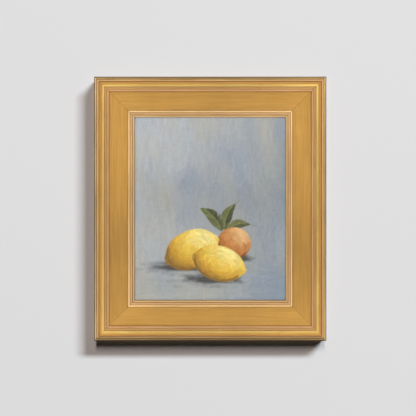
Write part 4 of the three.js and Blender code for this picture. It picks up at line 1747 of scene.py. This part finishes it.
@dataclass
class Staples:
    """Flat wire staples that hold the turned cloth to the back of the bars."""

    crown: float = 11.0
    wire: float = 1.1
    thick: float = 0.55
    bend: float = 0.9  # the radius of a corner of the wire
    sunk: float = 3.0  # how far the legs go into the wood
    in_from_edge: float = 9.0
    corner_free: float = 25.0  # from a corner of the canvas to its first staple
    spacing: float = 41.0
    clear_of: float = 16.0  # from a clip's middle, along the side
    clear_across: float = 30.0

    def build(self, canvas: Canvas) -> None:
        """Puts a row of staples along each side of the canvas.

        Args:
            canvas: whose back they are on.
        """
        steel = MetalFinish("staple_steel", rgb(186, 187, 188), rgb(140, 136, 130), 0.3).material()
        rng = np.random.default_rng(21)
        names = [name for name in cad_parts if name.startswith("clip_") and "screw" not in name]
        clips = [node_centre(name) for name in names]
        behind = Vector((canvas.centre.x, canvas.high.y, canvas.centre.z))
        for side in SIDES:
            run, across = side.spans(canvas.width, canvas.height)
            half = run / 2 - self.corner_free
            placed = []
            for along in np.linspace(-half, half, round(2 * half / self.spacing) + 1):
                flat = np.array([[along, 0.0, self.in_from_edge - across / 2 + rng.normal(0, 0.8)]])
                spot = Vector(side.turn(flat)[0]) * MM + behind
                if not any(self.too_near(spot, clip) for clip in clips):
                    placed.append((spot, side.angle + rng.normal(0.5, 0.16)))
            self.row(side, placed, steel)

    def too_near(self, spot: Vector, clip: Vector) -> bool:
        """Whether a staple would lie under a clip."""
        apart = (spot - clip) / MM
        return abs(apart.z) < self.clear_of and abs(apart.x) < self.clear_across

    def row(self, side: Side, places: list[tuple[Vector, float]], steel: bpy.types.Material) -> None:
        """Builds one side's staples as one piece.

        Args:
            side: of the canvas.
            places: the middle of each staple's crown, and its turn in radians.
            steel: the finish.
        """
        made = bmesh.new()
        for place, turn in places:
            self.staple(made, Matrix.Translation(place) @ Matrix.Rotation(turn, 4, "Y"))
        row = finished(made, f"staples_{side.name}")
        row.data.materials.append(steel)
        shade_smooth(row)
        put(row, "bare_steel")

    def staple(self, made: bmesh.types.BMesh, place: Matrix) -> None:
        """Sweeps the flat wire along a crown with two bent corners and short legs into the wood.

        Args:
            made: the mesh that it is added to.
            place: carries it from the origin, where its crown lies along x, to its place.
        """
        half, bend, top = self.crown / 2, self.bend, self.thick / 2
        corner = [(1 - math.cos(a), 1 - math.sin(a)) for a in np.linspace(0, math.pi / 2, 5)]
        line = [(-half, -self.sunk)] + [(-half + bend * right, top - bend * down) for right, down in corner]
        line += [(-x, y) for x, y in reversed(line)]
        outline = [(across, top * math.sqrt(1 - 0.75 * across**4)) for across in (-1, -0.5, 0.5, 1)]
        outline += [(across, -offset) for across, offset in reversed(outline)]
        rings = []
        for i, (x, y) in enumerate(line):
            before, after = line[max(i - 1, 0)], line[min(i + 1, len(line) - 1)]
            along = Vector((after[0] - before[0], after[1] - before[1])).normalized()
            ring = [(x - along.y * off, y + along.x * off, across * self.wire / 2) for across, off in outline]
            rings.append([made.verts.new(place @ (Vector(corner) * MM)) for corner in ring])
        for first, second in zip(rings, rings[1:]):
            for i in range(len(first)):
                j = (i + 1) % len(first)
                made.faces.new((first[i], first[j], second[j], second[i]))
        made.faces.new(rings[0][::-1])
        made.faces.new(rings[-1])


@dataclass
class Fixings:
    """Clips with their screws, corner nails, the hanger with its nails, and the bumpers."""

    head: float = 3.4  # the radius of a screw's head
    head_high: float = 1.4
    head_rim: float = 0.35
    shank: float = 1.5
    point: float = 2.5
    recess: float = 0.8  # how deep the cross in a screw's head is
    recess_width: float = 0.95
    recess_length: float = 4.0
    recess_taper: float = 0.62
    screw_turn: float = 0.6
    nail_head: float = 2.7
    nail_head_high: float = 0.9
    nail_rim: float = 0.15
    nail_shank: float = 0.9
    nail_point: float = 1.8
    bumper_flat: float = 4.4  # the radius of a bumper's flat end
    bumper_spring: float = 1.2  # where its side starts to bulge in
    bumper_ease: float = 0.2

    def build(self) -> None:
        """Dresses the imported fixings, and turns the round ones finer."""
        zinc = MetalFinish("zinc_plate", rgb(196, 198, 200), rgb(150, 152, 150), 0.34).material()
        brass = MetalFinish("turned_brass", rgb(214, 178, 104), rgb(150, 116, 62), 0.28).material()
        plated = MetalFinish("brass_plate", rgb(220, 188, 116), rgb(168, 134, 78), 0.3).material()
        steel = MetalFinish("bare_steel", rgb(170, 172, 175), rgb(112, 104, 98), 0.36).material()
        rubber = RubberFinish().material()
        for name in sorted(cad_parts):
            if name.startswith("clip_screw_"):
                self.screw(name, brass)
            elif name.startswith("clip_"):
                dress_solid(name, zinc, 0.2)
            elif name.startswith("corner_nail_"):
                dress_solid(name, steel, 0.08)
            elif name.startswith("hanger_nail_"):
                self.nail(name, steel)
            elif name.startswith("bumper_"):
                self.bumper(name, rubber)
        dress_solid("hanger", plated, 0.12)

    def screw(self, node: str, metal: bpy.types.Material) -> None:
        """A pan-head screw with a cross recess.

        Args:
            node: the solid that it stands for.
            metal: its finish.
        """
        top = depth_of(node)
        under = top - self.head_high
        profile = dome(self.head, under + self.head_rim, top, 9)
        profile += [(self.head, under), (self.shank, under), (self.shank, self.point), (0, 0)]
        piece = turned_piece(f"fine_{node}", profile)
        self.cut_cross(piece, top)
        seat(piece, node, metal, "brass", self.screw_turn)

    def cut_cross(self, piece: bpy.types.Object, top: float) -> None:
        """Cuts a tapered cross into a screw's head, whose top is at the height that is given.

        Args:
            piece: the screw.
            top: of its head, in millimetres.
        """
        made = bmesh.new()
        middle, spare = top - self.recess / 2, 0.1
        for turn in (0, math.pi / 2):
            place = Matrix.Rotation(turn, 4, "Y") @ Matrix.Translation((0, (middle + spare) * MM, 0))
            sizes = (self.recess_length, self.recess + 2 * spare, self.recess_width)
            size = Matrix.Diagonal((*(length * MM for length in sizes), 1))
            cube = bmesh.ops.create_cube(made, size=1.0, matrix=place @ size)
            for vertex in cube["verts"]:
                if vertex.co.y < middle * MM:
                    vertex.co.x *= self.recess_taper
                    vertex.co.z *= self.recess_taper if turn else 1.0
        tool = finished(made, "cross")
        cut = piece.modifiers.new("cross", "BOOLEAN")
        cut.operation, cut.solver, cut.use_self, cut.object = "DIFFERENCE", "EXACT", True, tool
        apply_modifiers(piece)
        bpy.data.objects.remove(tool)
        shade_smooth(piece)

    def nail(self, node: str, metal: bpy.types.Material) -> None:
        """A round-headed nail.

        Args:
            node: the solid that it stands for.
            metal: its finish.
        """
        top = depth_of(node)
        under = top - self.nail_head_high
        profile = dome(self.nail_head, under + self.nail_rim, top, 8)
        shank = self.nail_shank
        profile += [(self.nail_head, under), (shank, under), (shank, self.nail_point), (0, 0)]
        seat(turned_piece(f"fine_{node}", profile, 32), node, metal, "bare_steel")

    def bumper(self, node: str, rubber: bpy.types.Material) -> None:
        """A soft round foot with a flat end.

        Args:
            node: the solid that it stands for.
            rubber: its finish.
        """
        low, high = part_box(node)
        thick, radius = depth_of(node), (high.x - low.x) / 2 / MM
        flat, spring, ease = self.bumper_flat, self.bumper_spring, self.bumper_ease
        turns = np.linspace(0, math.pi / 2, 9)
        side, rise = radius - flat, thick - spring
        bulge = [(flat + side * math.cos(a), spring + rise * math.sin(a)) for a in turns]
        profile = [(0, 0), (radius - ease, 0), (radius, ease), *bulge, (0, thick)]
        seat(turned_piece(f"fine_{node}", profile, 56), node, rubber, "rubber")


def apply_modifiers(thing: bpy.types.Object) -> None:
    """Replaces an object's mesh by what its modifiers make of it."""
    seen = thing.evaluated_get(bpy.context.evaluated_depsgraph_get())
    mesh = bpy.data.meshes.new_from_object(seen)
    thing.modifiers.clear()
    thing.data = mesh


# ---- the studio ----


class Reach(Enum):
    """What a lamp lights: everything, or only the wall, the floor or the picture."""

    ALL = "all"
    WALL = "wall"
    FLOOR = "floor"
    PICTURE = "picture"


@dataclass(frozen=True)
class Lamp:
    """A soft rectangular light that faces the wall squarely, or the floor from above.

    Its place is in metres from the middle of the part, on the wall.
    """

    name: str
    place: tuple[float, float, float]
    size: tuple[float, float]
    power: float
    colour: Colour
    reach: Reach = Reach.ALL

    def build(self, target: Vector, wall: bpy.types.Object, floor: bpy.types.Object) -> None:
        """Hangs the lamp.

        Args:
            target: the point that its place is counted from.
            wall: of the studio, which it may light alone or leave out.
            floor: of the studio, likewise.
        """
        data = bpy.data.lights.new(self.name, "AREA")
        data.shape = "RECTANGLE"
        data.size, data.size_y = self.size
        data.energy, data.color = self.power, self.colour
        lamp = in_scene(self.name, data)
        lamp.location = target + Vector(self.place)
        ahead = Vector((0, 0, -1)) if self.reach is Reach.FLOOR else Vector((0, -self.place[1], 0))
        lamp.rotation_euler = ahead.to_track_quat("-Z", "Y").to_euler()
        if self.reach is Reach.ALL:
            return
        receivers = bpy.data.collections.new(f"{self.name}_receivers")
        if self.reach is Reach.PICTURE:
            ways = {wall: "EXCLUDE", floor: "EXCLUDE"}
        else:
            ways = {wall if self.reach is Reach.WALL else floor: "INCLUDE"}
        for thing in ways:
            receivers.objects.link(thing)
        for entry, way in zip(receivers.collection_objects, ways.values()):
            entry.light_linking.link_state = way
        lamp.light_linking.receiver_collection = receivers


LAMPS = (
    Lamp("wall_key", (18.0, -24.0, 20.5), (14.8, 6.0), 17900.0, (0.934, 1.0, 1.046), Reach.WALL),
    Lamp("wall_fill", (0.0, -22.5, 11.4), (2.25, 8.4), 2300.0, (1.142, 1.0, 0.926), Reach.WALL),
    Lamp("picture_key", (1.6, -7.4, 4.2), (5.0, 3.6), 75.0, (0.95, 1.0, 1.04), Reach.PICTURE),
    Lamp("picture_front", (0.0, -4.6, 0.0), (6.5, 4.6), 141.0, (1.0, 1.0, 0.985), Reach.PICTURE),
    Lamp("picture_left", (-4.8, -4.6, -1.9), (3.6, 4.2), 104.0, (1.02, 1.0, 0.97), Reach.PICTURE),
    Lamp("picture_right", (4.8, -4.6, -1.7), (3.6, 4.2), 70.0, (1.02, 1.0, 0.97), Reach.PICTURE),
    Lamp("picture_low", (0.0, -4.2, -3.65), (5.0, 1.7), 72.0, (1.0, 1.0, 0.97), Reach.PICTURE),
    Lamp("picture_high", (0.0, -4.0, 4.3), (5.0, 1.2), 60.0, (1.0, 1.0, 0.97), Reach.PICTURE),
    Lamp("floor_light", (0.0, -3.0, 4.0), (3.0, 3.0), 180.0, (1.0, 1.0, 1.0), Reach.FLOOR),
    Lamp("rear_high", (-1.6, 1.9, 1.1), (1.2, 1.2), 26.0, (1.0, 0.98, 0.95)),
    Lamp("rear_low", (1.7, 1.6, 0.1), (1.0, 1.0), 10.0, (1.0, 0.98, 0.95)),
)


@dataclass
class Studio:
    """A pale wall and floor, soft light from above and from the front, and the camera straight ahead."""

    image: int = 416  # pixels across the picture that the camera takes
    millimetres_per_pixel: float = 1.588  # at the frame's outer edge
    middle: Point = (210.25, 208.75)  # where the frame's centre lies in the picture, in pixels
    lens: float = 100.0
    sensor: float = 36.0
    edge_plane: float = 31.5  # how far in front of the wall the frame's outer edge stands
    half_wide: float = 5000.0  # of the wall and the floor
    wall_top: float = 3200.0
    floor_high: float = -1450.0
    floor_near: float = -6000.0
    wall_back: float = 0.2  # keeps the wall clear of what touches it
    wall_paint: Colour = (0.80, 0.80, 0.80)
    wall_roughness: float = 0.95
    wall_gloss: float = 0.1
    wall_grit: float = 900.0
    wall_relief: Relief = (0.15, 0.0002)
    room_colour: Colour = (1.0, 0.74, 0.5)
    room_above: Span = (-0.6, 0.8, 0.008, 0.042)
    room_behind: Span = (0.0, 0.5, 0.0, 0.35)  # light from behind the wall doesn't reach its front
    backdrop: Colour = (0.7, 0.7, 0.7)  # what the camera sees where there is neither wall nor floor

    def build(self) -> None:
        """Sets up the stage, the lights and the camera."""
        wall, floor = self.wall_and_floor()
        self.room()
        low, high = CAD_BOX
        centre = (low + high) / 2
        for lamp in LAMPS:
            lamp.build(Vector((centre.x, 0, centre.z)), wall, floor)
        self.camera()
        bpy.context.scene.view_settings.view_transform = "Standard"

    def wall_and_floor(self) -> list[bpy.types.Object]:
        """A wall that shows only from its front, and a floor well below that throws no light up.

        Returns:
            The wall and the floor.
        """
        wide, top, floor, back, near = (
            length * MM
            for length in (self.half_wide, self.wall_top, self.floor_high, self.wall_back, self.floor_near)
        )
        foot = [(-wide, back, floor), (wide, back, floor)]
        paint = self.plaster()
        sheets = []
        for name, corners in (
            ("studio_wall", [*foot, (wide, back, top), (-wide, back, top)]),
            ("studio_floor", [(-wide, near, floor), (wide, near, floor), *reversed(foot)]),
        ):
            sheet = new_object(name, np.array(corners), [range(4)])
            sheet.data.materials.append(paint)
            sheets.append(sheet)
        sheets[1].visible_diffuse = False
        sheets[1].visible_glossy = False
        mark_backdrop(*sheets)
        return sheets

    def plaster(self) -> bpy.types.Material:
        """Matt wall paint that can't be seen from behind and holds back no light from there.

        Returns:
            The material.
        """
        material, wiring, shader = new_material("wall_paint")
        wiring.fill(shader, Base_Color=self.wall_paint, Roughness=self.wall_roughness)
        wiring.fill(shader, Specular_IOR_Level=self.wall_gloss)
        wiring.relief(shader, wiring.noise(wiring.place(), self.wall_grit, 3.0), *self.wall_relief)
        behind = wiring.node("NewGeometry").outputs["Backfacing"]
        shadow = wiring.node("LightPath").outputs["Is Shadow Ray"]
        mixer = wiring.node("MixShader")
        wiring.feed(mixer.inputs[0], wiring.math("MAXIMUM", behind, shadow))
        wiring.feed(mixer.inputs[1], shader.outputs[0])
        wiring.feed(mixer.inputs[2], wiring.node("BsdfTransparent").outputs[0])
        wiring.feed(material.node_tree.nodes["Material Output"].inputs[0], mixer.outputs[0])
        return material

    def room(self) -> None:
        """The even light of the room, stronger from above and from behind the wall."""
        world = bpy.data.worlds.new("room")
        world.use_nodes = True
        wiring = Wiring(world.node_tree)
        _, y, z = wiring.node("SeparateXYZ", Vector=wiring.node("TexCoord").outputs["Generated"]).outputs
        light = wiring.plus(wiring.ramp(z, *self.room_above), wiring.ramp(y, *self.room_behind))
        seen = wiring.node("LightPath").outputs["Is Camera Ray"]
        room = world.node_tree.nodes["Background"]
        wiring.fill(room, Color=wiring.blend(seen, self.room_colour, self.backdrop))
        wiring.fill(room, Strength=wiring.math("MAXIMUM", light, seen))
        bpy.context.scene.world = world

    def camera(self) -> None:
        """Straight on, far enough back to see little of the frame's depth."""
        data = bpy.data.cameras.new("camera")
        data.lens, data.sensor_width = self.lens, self.sensor
        camera = in_scene("camera", data)
        low, high = CAD_BOX
        pixel = self.millimetres_per_pixel * MM
        away = self.image * pixel * self.lens / self.sensor
        rails = (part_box("rail_bottom")[0].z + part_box("rail_top")[1].z) / 2
        camera.location = (
            (low.x + high.x) / 2 + (self.image / 2 - self.middle[0]) * pixel,
            high.y - self.edge_plane * MM - away,
            rails + (self.middle[1] - self.image / 2) * pixel,
        )
        camera.rotation_euler = (math.pi / 2, 0, 0)
        bpy.context.scene.camera = camera


def main() -> None:
    """Builds every piece in order and reports each one."""
    logging.basicConfig(level=logging.INFO, format="%(message)s")
    Studio().build()
    GiltFrame().build()
    canvas = Canvas()
    canvas.build()
    StretcherBars().build()
    Staples().build(canvas)
    Fixings().build()
    boxes = {"cad": CAD_BOX, "visual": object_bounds()}
    {name: [list(corner) for corner in box] for name, box in boxes.items()}


if __name__ == "__main__":
    main()
